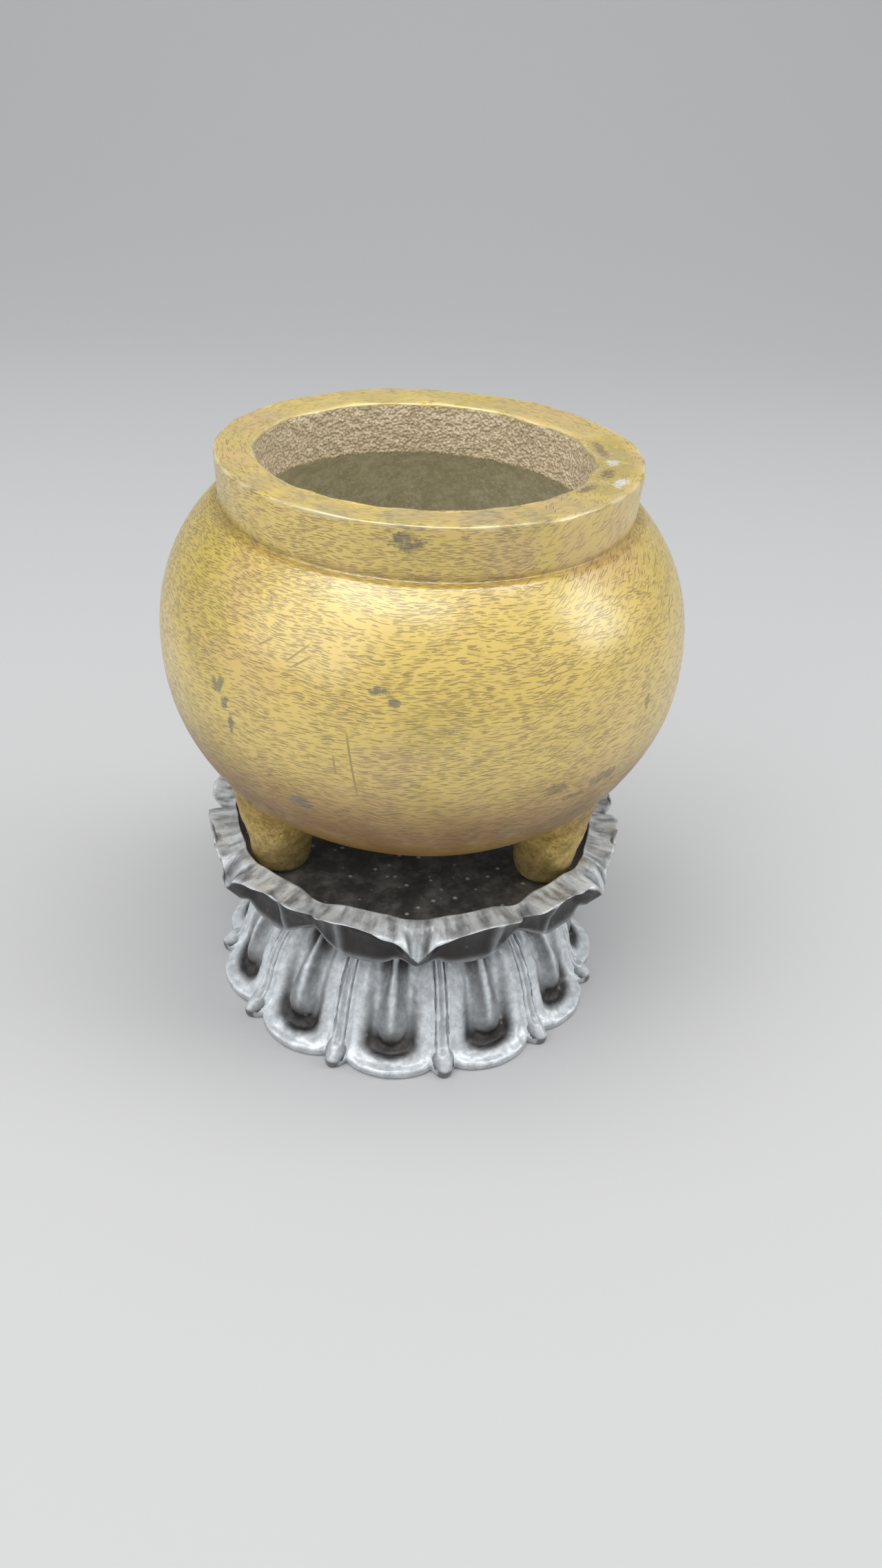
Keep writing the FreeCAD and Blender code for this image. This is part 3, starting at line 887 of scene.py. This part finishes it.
def stand_wood():
    """Black-brown carved hardwood, waxed, and silvery where hands and dusting wore it; that silvery colour
    is also painted sheen, standing in for the gloss's reflections.
    """
    g = Graph("stand_wood")
    place = g.place()
    u, v = g.along()
    grain = g.noise(g.stretched(place, (1.0, 1.0, 0.18)), WOOD_GRAIN)
    patchy = g.patches(place, WORN_AND_SHEEN_PATCHES)
    spot = g.add("CombineXYZ", {0: g.times(u, 0.32), 1: g.times(v, 0.1)}).outputs[0]
    cuts = g.noise(spot, KNIFE_CUTS)
    cut = g.mark("cut")
    # Painted highlight streaks across the carved band, along the knife cuts
    highlight_streak = g.sum(0.5, (cut, -0.5), (g.span(cuts, 0.34, 0.66), cut))
    # Painted sheen, partly real wear: silvery colour where the carving is worn
    worn_and_sheen = g.times(g.mark("wear_and_sheen"), g.sum(0.2, (highlight_streak, 0.9), (patchy, 0.4)))
    dust = g.mark("dust")
    film = g.times(g.patches(place, DUST_FILM), 0.55)
    colour = g.mix(g.span(grain, 0.35, 0.65), WOOD_BLACK, WOOD_BROWN)
    colour = g.mix(worn_and_sheen, colour, WOOD_WORN_AND_SHEEN)
    colour = g.cover(colour, DUST_GREY, dust, film)
    colour = g.cover(colour, LINT_GREY, dust, g.times(lint(g, place), 0.8))
    relief = g.sum(g.times(grain, 0.35), (g.noise(place, WOOD_SKIN), 0.5), (g.times(cuts, cut), 1.4))
    g.bump(relief, 0.14)
    g.set(Base_Color=colour, Roughness=g.sum(0.27, (patchy, 0.14), (dust, 0.25)), Specular_IOR_Level=0.4)
    g.set(Coat_Weight=g.sum(0.05, (worn_and_sheen, 0.8)), Coat_Roughness=0.18, Coat_IOR=1.8)
    g.set(Metallic=g.times(worn_and_sheen, 0.2))
    return g.material


def dowel_wood():
    """Plain brown hardwood with its grain along the dowel."""
    g = Graph("dowel_wood")
    grain = g.noise(g.stretched(g.place(), (1.0, 1.0, 0.08)), DOWEL_GRAIN)
    g.bump(grain, 0.1)
    g.set(Base_Color=g.mix(grain, DOWEL_DARK, DOWEL_PALE), Roughness=0.6)
    return g.material


# Burner bowl

def superellipse(radius, reach, power, start, end):
    """Radius and height along part of a superellipse, between two angles from its widest level."""
    angle = np.radians(np.linspace(start, end, PROFILE_POINTS))
    up = np.sin(angle)
    height = reach * np.sign(up) * np.abs(up) ** (2 / power)
    return np.stack([radius * np.cos(angle) ** (2 / power), height], axis=1)


def angle_at_radius(share, power):
    """The superellipse angle at which it has narrowed to that share of its radius."""
    return math.degrees(math.acos(share ** (power / 2)))


def angle_at_height(share, power):
    """The superellipse angle at which it has reached that share of its height."""
    return math.degrees(math.asin(share ** (power / 2)))


def hollow_line(top_z):
    """The profile of the hollow inside, from that height down to its pole."""
    radius = BELLY_RADIUS - WALL
    rise = BELLY_RISE - WALL
    start = angle_at_height((top_z - belly_z) / rise, BELLY_RISE_POWER)
    above = superellipse(radius, rise, BELLY_RISE_POWER, start, 0)
    below = superellipse(radius, BELLY_DROP - FLOOR_WALL, BELLY_DROP_POWER, 0, INNER_POLE)
    return np.concatenate([above, below[1:]]) + (0, belly_z)


def bowl_outline():
    """The bowl's profile in named runs, from the underside's pole over the rim to the inside's pole."""
    shoulder = angle_at_radius(SHOULDER_RADIUS / BELLY_RADIUS, BELLY_RISE_POWER)
    under = superellipse(BELLY_RADIUS, BELLY_DROP, BELLY_DROP_POWER, OUTER_POLE, 0)
    over = superellipse(BELLY_RADIUS, BELLY_RISE, BELLY_RISE_POWER, 0, shoulder)
    wide = over[:, 0] >= NECK_RADIUS
    upper = over[~wide] + (0, belly_z)
    lower = np.concatenate([under, over[wide][1:]]) + (0, belly_z)
    edge_low = (COLLAR_RADIUS, rim_z - RIM_ROUND)
    edge_top = (COLLAR_RADIUS - RIM_ROUND, rim_z)
    mouth_top = (MOUTH_RADIUS + MOUTH_ROUND, rim_z)
    mouth_low = (MOUTH_RADIUS, rim_z - MOUTH_ROUND)
    throat_foot = (MOUTH_RADIUS, rim_z - MOUTH_DEPTH)
    inside = hollow_line(throat_foot[1] - MOUTH_ROUND)
    lines = {
        "belly": np.concatenate([lower, upper[:1]]),
        "collar": np.concatenate([upper, [(COLLAR_FOOT_RADIUS, crease_z)], [edge_low]]),
        "edge": bend(edge_low, (COLLAR_RADIUS, rim_z), edge_top),
        "rim": [edge_top, mouth_top],
        "lip": bend(mouth_top, (MOUTH_RADIUS, rim_z), mouth_low),
        "throat": [mouth_low, throat_foot],
        "ledge": [throat_foot, inside[0]],
        "inside": inside,
    }
    runs = {name: spaced(line, BOWL_RUNS[name][0]) for name, line in lines.items()}
    runs["collar"] = softened(runs["collar"], 1)
    return runs


def shape_mouth(rows, names, radius, z, turn):
    """Makes the mouth a ragged oval, a little off the axis."""
    in_mouth = np.isin(names, ["rim", "lip", "throat", "ledge"])[:, None]
    share = in_mouth * np.clip((COLLAR_RADIUS - radius) / (COLLAR_RADIUS - MOUTH_RADIUS), 0, 1)
    degrees = np.degrees(turn)
    chip = sum(depth * hump(wrapped(degrees - at, 360), width) for at, width, depth in MOUTH_CHIPS)
    ring = around(MOUTH_RADIUS, 0 * turn, turn)
    ragged = MOUTH_RAGGED * ripple(ring, MOUTH_RAGGED_LENGTH, seed=5) + chip
    near_lip = share ** 3 * hump(np.maximum(rim_z - z, 0), LIP_REACH)
    wide = MOUTH_HALF_WIDTH - MOUTH_RADIUS + ragged * near_lip
    deep = MOUTH_HALF_DEPTH - MOUTH_RADIUS + ragged * near_lip
    rows[..., 0] += share * (MOUTH_SHIFT[0] + wide * np.sin(turn))
    rows[..., 1] += share * (MOUTH_SHIFT[1] - deep * np.cos(turn))


def bowl_wear_and_sheen(rows, names, radius, z):
    """Bright wear along the collar's edge and the lip, and a little at the throat's foot, which also paints
    the bright highlight lines on these edges.
    """
    to_edge = np.hypot(radius - COLLAR_RADIUS + EDGE_INSET, z - rim_z + EDGE_INSET)
    to_lip = np.hypot(radius - MOUTH_RADIUS, z - rim_z)
    wear_and_sheen = np.maximum(hump(to_edge, EDGE_WEAR_AND_SHEEN), 0.9 * hump(to_lip, LIP_WEAR_AND_SHEEN))
    wear_and_sheen = wear_and_sheen * np.clip(0.7 + 0.45 * ripple(rows, WEAR_AND_SHEEN_LENGTH, seed=21), 0, 1)
    in_throat = np.isin(names, ["throat", "ledge"])[:, None]
    return np.maximum(wear_and_sheen, 0.35 * (in_throat * hump(z - rim_z + MOUTH_DEPTH, LIP_WEAR_AND_SHEEN)))


def bowl_marks(rows, names, radius, z, turn):
    """Where the bowl is worn bright with painted sheen, polished and chased, where painted shade darkens the
    crease, and where its strokes slant.
    """
    degrees = np.degrees(turn)
    outside = np.isin(names, ["belly", "collar", "edge"])[:, None]
    on_rim = np.isin(names, ["rim", "lip"])[:, None]
    on_collar = (names == "collar")[:, None]
    polish = on_rim * plateau(POLISH_FROM, POLISH_TO, degrees)
    right = plateau(SLANT_FROM, SLANT_TO, degrees)
    low = ease(*(bowl_low.z + rise for rise in STROKES_FROM), z)
    return {
        "wear_and_sheen": bowl_wear_and_sheen(rows, names, radius, z),
        "polish": polish * (1 - ease(COLLAR_RADIUS - 4, COLLAR_RADIUS - 1, radius)),
        "slanted": right * np.where(on_collar, 1.0, BELLY_SLANT),
        "chased": np.where(outside, low, RIM_STROKES) + 0 * degrees,
        # Painted shade just over the crease
        "crease_shade": on_collar * hump(z - crease_z - CREASE_SHADE_RISE, CREASE_SHADE_WIDTH) + 0 * degrees,
    }


def make_bowl(bronze, casting, inside):
    runs = bowl_outline()
    line = np.concatenate([points[k > 0:] for k, points in enumerate(runs.values())])
    names = np.concatenate([[run] * (len(points) - (k > 0)) for k, (run, points) in enumerate(runs.items())])
    turn = even_turn(BOWL_COLUMNS)
    radius, z = line[:, :1], line[:, 1:]
    rows = around(radius, z, turn[None])
    out = side_of(rows)
    shape_mouth(rows, names, radius, z, turn[None])
    for run, (_, depth, wavelength) in BOWL_RUNS.items():
        here = names == run
        rows[here] += out[here] * depth * ripple(rows[here], wavelength, seed=11)[..., None]
    marks = bowl_marks(rows, names, radius, z, turn[None])
    finish = {run: bronze for run in ("belly", "collar", "edge", "rim", "lip")}
    finish.update({"throat": casting, "ledge": casting, "inside": inside})
    bowl = surface("bowl_skin", rows, turn, marks, names, finish)
    dress(bowl, "burner", "burner_bowl")


# Legs

def underside_z(x, y):
    """Height of the belly's outer surface over a point in plan, on its lower half."""
    share = np.clip(np.hypot(x, y) / BELLY_RADIUS, 0, 0.999) ** BELLY_DROP_POWER
    return belly_z - BELLY_DROP * (1 - share) ** (1 / BELLY_DROP_POWER)


def leg_radius(z):
    """Radius of a leg's cone at a height."""
    return FOOT_RADIUS + LEG_SLOPE * (z - floor_z)


def foot_levels():
    """Radius and height of the rings under the foot and round its edge."""
    round_top = floor_z + FOOT_ROUND
    flat = FOOT_RADIUS - FOOT_ROUND
    sole = [(flat * share, floor_z) for share in FOOT_SHARES]
    edge = bend((flat, floor_z), (FOOT_RADIUS, floor_z), (leg_radius(round_top), round_top), 9)
    return sole + edge.tolist()


def leg_rows(centre, turn):
    """A tapering leg whose top spreads into the belly with a soft fillet."""

    def at(spread):
        return centre[0] + spread * np.sin(turn), centre[1] - spread * np.cos(turn)

    meet = underside_z(*at(FOOT_RADIUS))
    for _ in range(MEETING_STEPS):
        meet = underside_z(*at(leg_radius(meet)))
    start = meet - LEG_FILLET
    end_spread = leg_radius(meet) + LEG_FILLET
    end_z = underside_z(*at(end_spread)) + LEG_SINK
    round_top = floor_z + FOOT_ROUND
    levels = [(radius + 0 * turn, z + 0 * turn) for radius, z in foot_levels()]
    for t in np.linspace(0, 1, LEG_RINGS)[1:]:
        z = round_top + t * (start - round_top)
        levels.append((leg_radius(z), z))
    for t in np.linspace(0, 1, FILLET_RINGS)[1:]:
        spread = curve(t, leg_radius(start), leg_radius(meet), end_spread)
        levels.append((spread, curve(t, start, meet, end_z)))
    levels.append((end_spread - LEG_TUCK[0], end_z + LEG_TUCK[1]))
    rows = np.stack([np.stack([*at(spread), z], axis=-1) for spread, z in levels])
    push = lumps(rows, LEG_UNEVEN) * ease(floor_z + 0.2, floor_z + 3, rows[..., 2])
    push[-EVEN_RINGS:] = 0
    return rows + side_of(rows) * push[..., None]


def make_legs(bronze):
    turn = even_turn(LEG_COLUMNS)
    for node in ("leg_back", "leg_front_left", "leg_front_right"):
        rows = leg_rows(foot_centre(node), turn)
        leg = surface(node + "_casting", rows, turn, {}, ["leg"] * len(rows), {"leg": bronze})
        dress(leg, "burner", node)


# Upper tier of the stand

class Carving:
    """Rows of a carved ring, gathered from its top to its underside, with their marks."""

    def __init__(self, turn):
        self.turn = turn
        self.rows = []
        self.marks = {"wear_and_sheen": [], "dust": [], "cut": []}

    def row(self, radius, z, wear_and_sheen=0.0, dust=0.0, cut=0.0):
        self.rows.append(around(radius + 0 * self.turn, z + 0 * self.turn, self.turn))
        for name, value in (("wear_and_sheen", wear_and_sheen), ("dust", dust), ("cut", cut)):
            self.marks[name].append(np.clip(value + 0 * self.turn, 0, 1))

    def made(self, name, uneven, wood):
        """The mesh, with its surface moved out by an unevenness of the points."""
        rows = np.stack(self.rows[::-1])
        rows += side_of(rows) * uneven(rows)[..., None]
        marks = {mark: np.stack(values[::-1]) for mark, values in self.marks.items()}
        return surface(name, rows, self.turn, marks, ["wood"] * len(rows), {"wood": wood})


class DishPlan:
    """The dish's inner and outer edges, and the crease under its rim, at each azimuth."""

    def __init__(self, turn):
        pitch = 360 / DISH_PAIRS
        half = pitch / 2
        off = np.abs(wrapped(np.degrees(turn) - DISH_BEAK_AZIMUTH, pitch))
        notch = np.clip(1 - (half - off) / NOTCH_HALF_ANGLE, 0, 1)
        beak = hump(off, BEAK_HALF_ANGLE)
        lobe = plateau(LOBE_FROM, (LOBE_TO, half), off)
        end = ease(END_FROM, half, off)
        saddle = 1 - ease(*SADDLE, off)
        point = np.exp(-((off / BEAK_DROP_ANGLE) ** BEAK_DROP_POWER))
        out_z = dish_high.z - END_DROP * end - NOTCH_DROP * notch ** 2
        lift = CREASE_LIFT * ease(CREASE_LIFT_FROM, half, off)
        wave = CREASE_WAVE * hump(off - CREASE_WAVE_AT, CREASE_WAVE_WIDTH)
        self.half = half
        self.off = off
        self.notch = notch
        self.beak = beak
        self.lobe = lobe
        self.out_z = out_z - SADDLE_DROP * saddle - BEAK_DROP * point
        self.out_r = DISH_OUTER_RADIUS + BEAK_REACH * beak - NOTCH_CUT * notch ** 2
        self.in_z = dish_high.z - INNER_DROP - INNER_END_DROP * end - INNER_SADDLE_DROP * saddle
        self.in_r = DISH_INNER_RADIUS + INNER_SET - LOBE_SWELL * lobe
        self.crease_z = DISH_CREASE_Z + lift + wave
        self.crease_r = DISH_CREASE_RADIUS + BEAK_KEEL * beak - NOTCH_CREASE * notch


def carve_floor(carving, plan):
    """The dish's floor, and its inner wall up to the rim."""
    for radius in DISH_FLOOR_RADII:
        carving.row(radius, floor_z, wear_and_sheen=0.06, dust=1.0)
    for inset, rise in DISH_WALL:
        z = floor_z + rise * (plan.in_z - floor_z)
        carving.row(plan.in_r + inset, z, wear_and_sheen=0.12, dust=0.8 - 0.5 * rise)


def carve_rim(carving, plan):
    """The top of the rim: hollow lobes with veins, and a ridge that folds down into each beak."""
    for q in np.linspace(0, 1, RIM_ROWS):
        arch = np.sin(np.pi * q)
        vein = hump(plan.off - VEIN_ANGLE + VEIN_TURN * q, VEIN_WIDTH) * ease(0.3, 0.6, q)
        fold = q ** (1 + hump(plan.off, FOLD_ANGLE))
        ridge = arch * hump(plan.off, RIDGE_ANGLE - RIDGE_TAPER * q)
        z = plan.in_z + (plan.out_z - plan.in_z) * fold
        z = z - LOBE_HOLLOW * arch * plan.lobe - VEIN_DEPTH * vein + RIDGE_HEIGHT * ridge
        edge = np.maximum(hump(q - 1, 0.1), 0.6 * hump(q, 0.1))
        # Painted sheen, brightest at the rim's edges, less at the beaks, and painted shade in the veins and
        # the notches
        wear_and_sheen = 0.78 + 0.3 * edge - 0.5 * vein - 0.9 * plan.notch ** 2 * q - 0.25 * plan.beak
        radius = plan.in_r + RIM_INSET + (plan.out_r - plan.in_r - RIM_INSET) * q
        carving.row(radius, z, wear_and_sheen, dust=0.2, cut=1.0 - 0.6 * edge)


def carve_face(carving, plan):
    """The outer face under the rim, scooped into almonds and facets, down to the crease."""
    almond = plateau(ALMOND_FROM, ALMOND_TO, plan.off)
    facet = plateau(FACET_FROM, (FACET_TO, plan.half), plan.off)
    for q in np.linspace(0, 1, FACE_ROWS)[1:]:
        scoop = np.sin(np.pi * q ** SCOOP_POWER) * (ALMOND_DEPTH * almond + FACET_DEPTH * facet)
        radius = plan.out_r + (plan.crease_r - plan.out_r) * q - scoop
        z = plan.out_z + (plan.crease_z - plan.out_z) * q
        # Painted sheen along the face's upper and lower edges and the facets' edges
        wear_and_sheen = 0.8 * hump(q, 0.05) + 0.3 * hump(q - 1, 0.07) + 0.25 * hump(plan.off - FACET_EDGE, 0.9)
        carving.row(radius, z, wear_and_sheen, dust=0.08)


def carve_underside(carving, plan):
    """The dish's underside, from the crease in to the waist and across it."""
    for q in np.linspace(0, 1, UNDER_ROWS)[1:]:
        swell = UNDER_SWELL * np.sin(np.pi * q) * np.cos(np.radians(plan.off * 180 / plan.half)) * (1 - q)
        radius = plan.crease_r + (DISH_WAIST_RADIUS - plan.crease_r) * q ** UNDER_RADIUS_POWER + swell
        fall = 1 - (1 - q) ** UNDER_HEIGHT_POWER
        carving.row(radius, plan.crease_z + (dish_low.z - plan.crease_z) * fall, wear_and_sheen=0.08, dust=0.1)
    for radius in DISH_UNDER_RADII:
        carving.row(radius, dish_low.z)


def make_dish(wood):
    turn = fine_turn(DISH_PAIRS, DISH_BEAK_AZIMUTH, *DISH_COLUMNS)
    plan = DishPlan(turn)
    carving = Carving(turn)
    for carve in (carve_floor, carve_rim, carve_face, carve_underside):
        carve(carving, plan)

    def uneven(rows):
        radius = np.linalg.norm(rows[..., :2], axis=-1)
        z = rows[..., 2]
        band = ease(DISH_INNER_RADIUS, DISH_INNER_RADIUS + 1.5, radius) * ease(floor_z - 3, floor_z + 1, z)
        ring = around(DISH_INNER_RADIUS, 0 * turn, turn)[None] + 0 * rows
        carved = ease(floor_z - 12, floor_z - 6, z) * ease(*CUT_FROM, radius)
        ragged = band * BAND_DEPTH * ripple(ring, BAND_LENGTH, seed=41)
        return ragged + carved * CUT_DEPTH * ripple(rows, CUT_LENGTH, seed=43)

    dish = carving.made("dish_carving", uneven, wood)
    dress(dish, "stand", "lotus_dish")


# Lower tier of the stand

def skirt_line():
    """Radius and height down the crests of the petals, from under the dish to the upturned tips."""
    waist = (BASE_WAIST_RADIUS, base_high.z)
    down = bend(waist, SKIRT_BEND, SKIRT_BULGE, SKIRT_POINTS)
    out = bend(SKIRT_BULGE, SKIRT_TURN, (base_high.x, TIP_Z), SKIRT_POINTS)
    return spaced(np.concatenate([down, out[1:]]), SKIRT_STEP)


def line_sides(line):
    """Unit directions out of a profile that runs downwards."""
    slope = np.gradient(line, axis=0)
    side = np.stack([-slope[:, 1], slope[:, 0]], axis=1)
    return side / np.linalg.norm(side, axis=1)[:, None]


def petal_relief(across, inset, past, share):
    """Height of a petal, and its boss: a broad border, a hollow, and a drop-shaped boss in the middle."""
    border = LIP_HEIGHT * hump(inset - LIP_WIDTH, LIP_WIDTH) - BORDER_DIP * ease(*BORDER_DIP_SPAN, inset)
    border = border - HOLLOW_DEPTH * ease(PETAL_BORDER, PETAL_BORDER + HOLLOW_SLOPE, inset)
    end_round = np.sqrt(np.clip(1 - np.clip(1 - np.maximum(past, 0) / BOSS_ROUND, 0, 1) ** 2, 0, 1))
    boss_half = (BOSS_NECK + BOSS_SWELL * ease(0.15, 0.7, share)) * np.maximum(end_round, 0.02)
    crown = np.sqrt(np.clip(1 - (across / boss_half) ** 2, 0, 1)) * end_round
    pool = hump(np.hypot(across / POOL_HALF_WIDTH, (past + POOL_SHIFT) / POOL_HALF_LENGTH), 1.0)
    return border - POOL_DEPTH * pool + BOSS_RAISE * crown, crown


def petal_sheen_and_shade(across, inset, past, share, crown):
    """Painted sheen and shade of a petal, partly real wear: a bright border and highlight streaks, and
    painted shade in the groove, round the boss's end and under the dish.
    """
    bright = 1 - ease(PETAL_BORDER - 1.0, PETAL_BORDER + HOLLOW_SLOPE, inset)
    # Painted shade in the groove round the boss
    groove_shade = hump(inset - PETAL_BORDER - 2.0, 1.6) * (1 - ease(0.2, 0.7, crown)) * ease(0.25, 0.75, share)
    shade = hump(np.hypot(across / 5.2, (past - 0.8) / 3.6), 1.0)
    high = 1 - ease(0.36, 0.66, share)
    # Painted highlight streaks on the upper petal
    highlight_streak = high * np.maximum(hump(across, 0.9), hump(np.abs(across) - 4.6, 0.9))
    boss = ease(0.3, 0.8, crown)
    # Painted highlight along the boss's crest
    crest_highlight = hump(across, 0.8) * ease(2.5, 7.0, past)
    wear_and_sheen = 0.55 + 0.5 * bright - 0.15 * high + 0.6 * highlight_streak - 0.45 * groove_shade
    # Painted shade round the boss's end, and painted shadow of the dish over the petal's top
    wear_and_sheen = wear_and_sheen - 0.95 * shade * (1 - 0.62 * boss) - 0.5 * (1 - ease(0.1, 0.32, share))
    return np.clip(wear_and_sheen - boss * (0.2 - 0.35 * crest_highlight), 0, 1)


def leaf_relief(across, share):
    """Height, and wear with painted sheen, of a leaf between two petals: two ridges that end in a pointed
    bud.
    """
    bud = ease(0.8, 0.9, share)
    side = across / (LEAF_HALF_WIDTH + LEAF_GAIN * share + BUD_SWELL * hump(share - BUD_AT, 0.08))
    body = np.clip(1 - side ** 2, -6, 1)
    off_ridge = np.abs(side) - LEAF_RIDGE
    ridges = 0.5 * hump(off_ridge, 0.24) - 0.3 * hump(side, 0.3)
    stem = ridges + LEAF_DEPTH * np.minimum(body, 0.3)
    height = -LEAF_DEPTH + (1 - bud) * stem + bud * (BUD_HEIGHT + BUD_HEIGHT * body)
    wear_and_sheen = (1 - bud) * (0.65 + 0.4 * hump(off_ridge, 0.26)) + bud * 0.8 * np.clip(body, 0, 1)
    return height, np.clip(wear_and_sheen, 0, 1)


def skirt_edge(off, off_leaf):
    """Radius of the skirt's lower edge: rounded petals with pointed buds between them."""
    tip = base_high.x
    part = np.clip(off / PETAL_HALF_ANGLE, 0, 1)
    petal = tip - TIP_ROUND * part ** 3 - TIP_TAPER * part
    leaf = tip - BUD_SETBACK - BUD_POINT * (np.radians(off_leaf) * tip) ** 2
    return np.maximum(petal, leaf)


def carve_skirt(carving, off, off_leaf, in_petal):
    """The rows down the petals and leaves, given by the angles off the middle of each."""
    edge = skirt_edge(off, off_leaf)
    line = skirt_line()
    sides = line_sides(line)
    length = np.linalg.norm(np.diff(line, axis=0), axis=1).sum()
    for k, share in enumerate(np.linspace(0, 1, len(line))):
        reach = (line[k, 0] - BASE_WAIST_RADIUS) / (base_high.x - BASE_WAIST_RADIUS)
        radius = BASE_WAIST_RADIUS + reach * (edge - BASE_WAIST_RADIUS)
        across = np.radians(off) * radius
        from_side = np.radians(PETAL_HALF_ANGLE - off) * radius
        from_tip = (1 - share) * length
        past = from_tip - BOSS_SETBACK
        inset = soft_least(from_side, from_tip + PETAL_TIP_INSET, PETAL_CORNER)
        petal, crown = petal_relief(across, inset, past, share)
        petal = -PETAL_DEPTH + (petal + PETAL_DEPTH) * in_petal
        leaf, leaf_wear_and_sheen = leaf_relief(np.radians(off_leaf) * radius, share)
        height = np.maximum(petal, np.maximum(leaf, -PETAL_DEPTH))
        height = height * (1 - TIP_THINNING * ease(0.95, 1.0, share))
        wear_and_sheen = np.where(leaf > petal, leaf_wear_and_sheen, petal_sheen_and_shade(across, inset, past, share, crown) * in_petal)
        dust = 0.1 + 0.3 * ease(PETAL_BORDER + 1, PETAL_BORDER + 3, inset) * (1 - crown)
        z = np.maximum(line[k, 1] + sides[k, 1] * height, LOWEST_EDGE)
        carving.row(radius + sides[k, 0] * height, z, wear_and_sheen, dust)


def carve_base(turn):
    """A skirt of hanging petals with narrow leaves between them, closed above and below."""
    pitch = 360 / BASE_PETALS
    off_leaf = np.abs(wrapped(np.degrees(turn) - BASE_LEAF_AZIMUTH, pitch))
    off = pitch / 2 - off_leaf
    in_petal = 1 - ease(PETAL_HALF_ANGLE - PETAL_SIDE, PETAL_HALF_ANGLE + PETAL_SIDE, off)
    carving = Carving(turn)
    for radius in BASE_TOP_RADII:
        carving.row(radius, base_high.z)
    carve_skirt(carving, off, off_leaf, in_petal)
    rim = carving.rows[-1]
    rim_r = np.linalg.norm(rim[..., :2], axis=-1)
    for out, share in BASE_EDGE:
        carving.row(rim_r + out, rim[..., 2] * share, wear_and_sheen=0.5 * in_petal + 0.15, dust=0.1)
    for radius in BASE_UNDER_RADII:
        carving.row(radius, 0.0)
    return carving


def make_base(wood):
    turn = fine_turn(BASE_PETALS, BASE_LEAF_AZIMUTH, *BASE_COLUMNS)

    def uneven(rows):
        z = rows[..., 2]
        return ease(0.8, 2.0, z) * ease(base_high.z, base_high.z - 2, z) * lumps(rows, BASE_UNEVEN)

    base = carve_base(turn).made("base_carving", uneven, wood)
    dress(base, "stand", "lotus_base")


# Stage

def make_floor():
    """A pale floor that sweeps up behind the object."""
    start = (FLOOR_BACK - FLOOR_CURVE, 0.0)
    sweep = bend(start, (FLOOR_BACK, 0.0), (FLOOR_BACK, FLOOR_CURVE))
    line = [(-FLOOR_REACH, 0.0), start, *sweep[1:].tolist(), (FLOOR_BACK, FLOOR_RISE)]
    points = [(side * FLOOR_REACH, y, z) for y, z in line for side in (-1, 1)]
    faces = [(2 * k, 2 * k + 1, 2 * k + 3, 2 * k + 2) for k in range(len(line) - 1)]
    mesh = bpy.data.meshes.new("floor_sweep")
    mesh.from_pydata(points, [], faces)
    mesh.polygons.foreach_set("use_smooth", np.ones(len(faces), bool))
    g = Graph("floor_paper")
    g.set(Base_Color=FLOOR_GREY, Roughness=0.9)
    mesh.materials.append(g.material)
    floor = bpy.data.objects.new("floor_sweep", mesh)
    bpy.context.scene.collection.objects.link(floor)


def make_world():
    """A soft even light from all sides."""
    world = bpy.data.worlds.new("studio")
    world.use_nodes = True
    background = world.node_tree.nodes["Background"]
    background.inputs["Color"].default_value = WORLD_COLOUR
    background.inputs["Strength"].default_value = WORLD_STRENGTH
    bpy.context.scene.world = world


def make_lamp(name, place, width, depth, power):
    """A soft rectangular lamp that faces the object."""
    light = bpy.data.lights.new(name, "AREA")
    light.shape = "RECTANGLE"
    light.size = width
    light.size_y = depth
    light.energy = power
    lamp = bpy.data.objects.new(name, light)
    lamp.location = place
    lamp.rotation_euler = (Vector(LAMP_TARGET) - Vector(place)).to_track_quat("-Z", "Y").to_euler()
    bpy.context.scene.collection.objects.link(lamp)


def make_camera():
    """The photograph's viewpoint."""
    yaw, pitch, roll = (math.radians(a) for a in (CAMERA_YAW, CAMERA_PITCH, CAMERA_ROLL))
    ahead = Vector((math.sin(yaw) * math.cos(pitch), math.cos(yaw) * math.cos(pitch), -math.sin(pitch)))
    level = ahead.cross(Vector((0, 0, 1))).normalized()
    up = level.cross(ahead)
    right = math.cos(roll) * level + math.sin(roll) * up
    top = -math.sin(roll) * level + math.cos(roll) * up
    data = bpy.data.cameras.new("photo_camera")
    data.sensor_fit = "VERTICAL"
    data.sensor_height = SENSOR
    data.lens = FOCAL_PIXELS / FRAME_HEIGHT_PIXELS * SENSOR
    data.clip_start = NEAREST_SEEN
    camera = bpy.data.objects.new("photo_camera", data)
    turned = Matrix((right, top, -ahead)).transposed().to_4x4()
    camera.matrix_world = Matrix.Translation(CAMERA_PLACE * MM) @ turned
    bpy.context.scene.collection.objects.link(camera)
    bpy.context.scene.camera = camera


make_camera()
make_floor()
make_world()
for lamp in LAMPS:
    make_lamp(*lamp)
make_bowl(chased_bronze(), rough_casting(), bowl_inside())
make_legs(leg_bronze())
wood = stand_wood()
make_dish(wood)
make_base(wood)
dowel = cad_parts["stand_dowel"]
dowel.data.materials.clear()
dowel.data.materials.append(dowel_wood())

bpy.context.scene.view_settings.view_transform = "Standard"
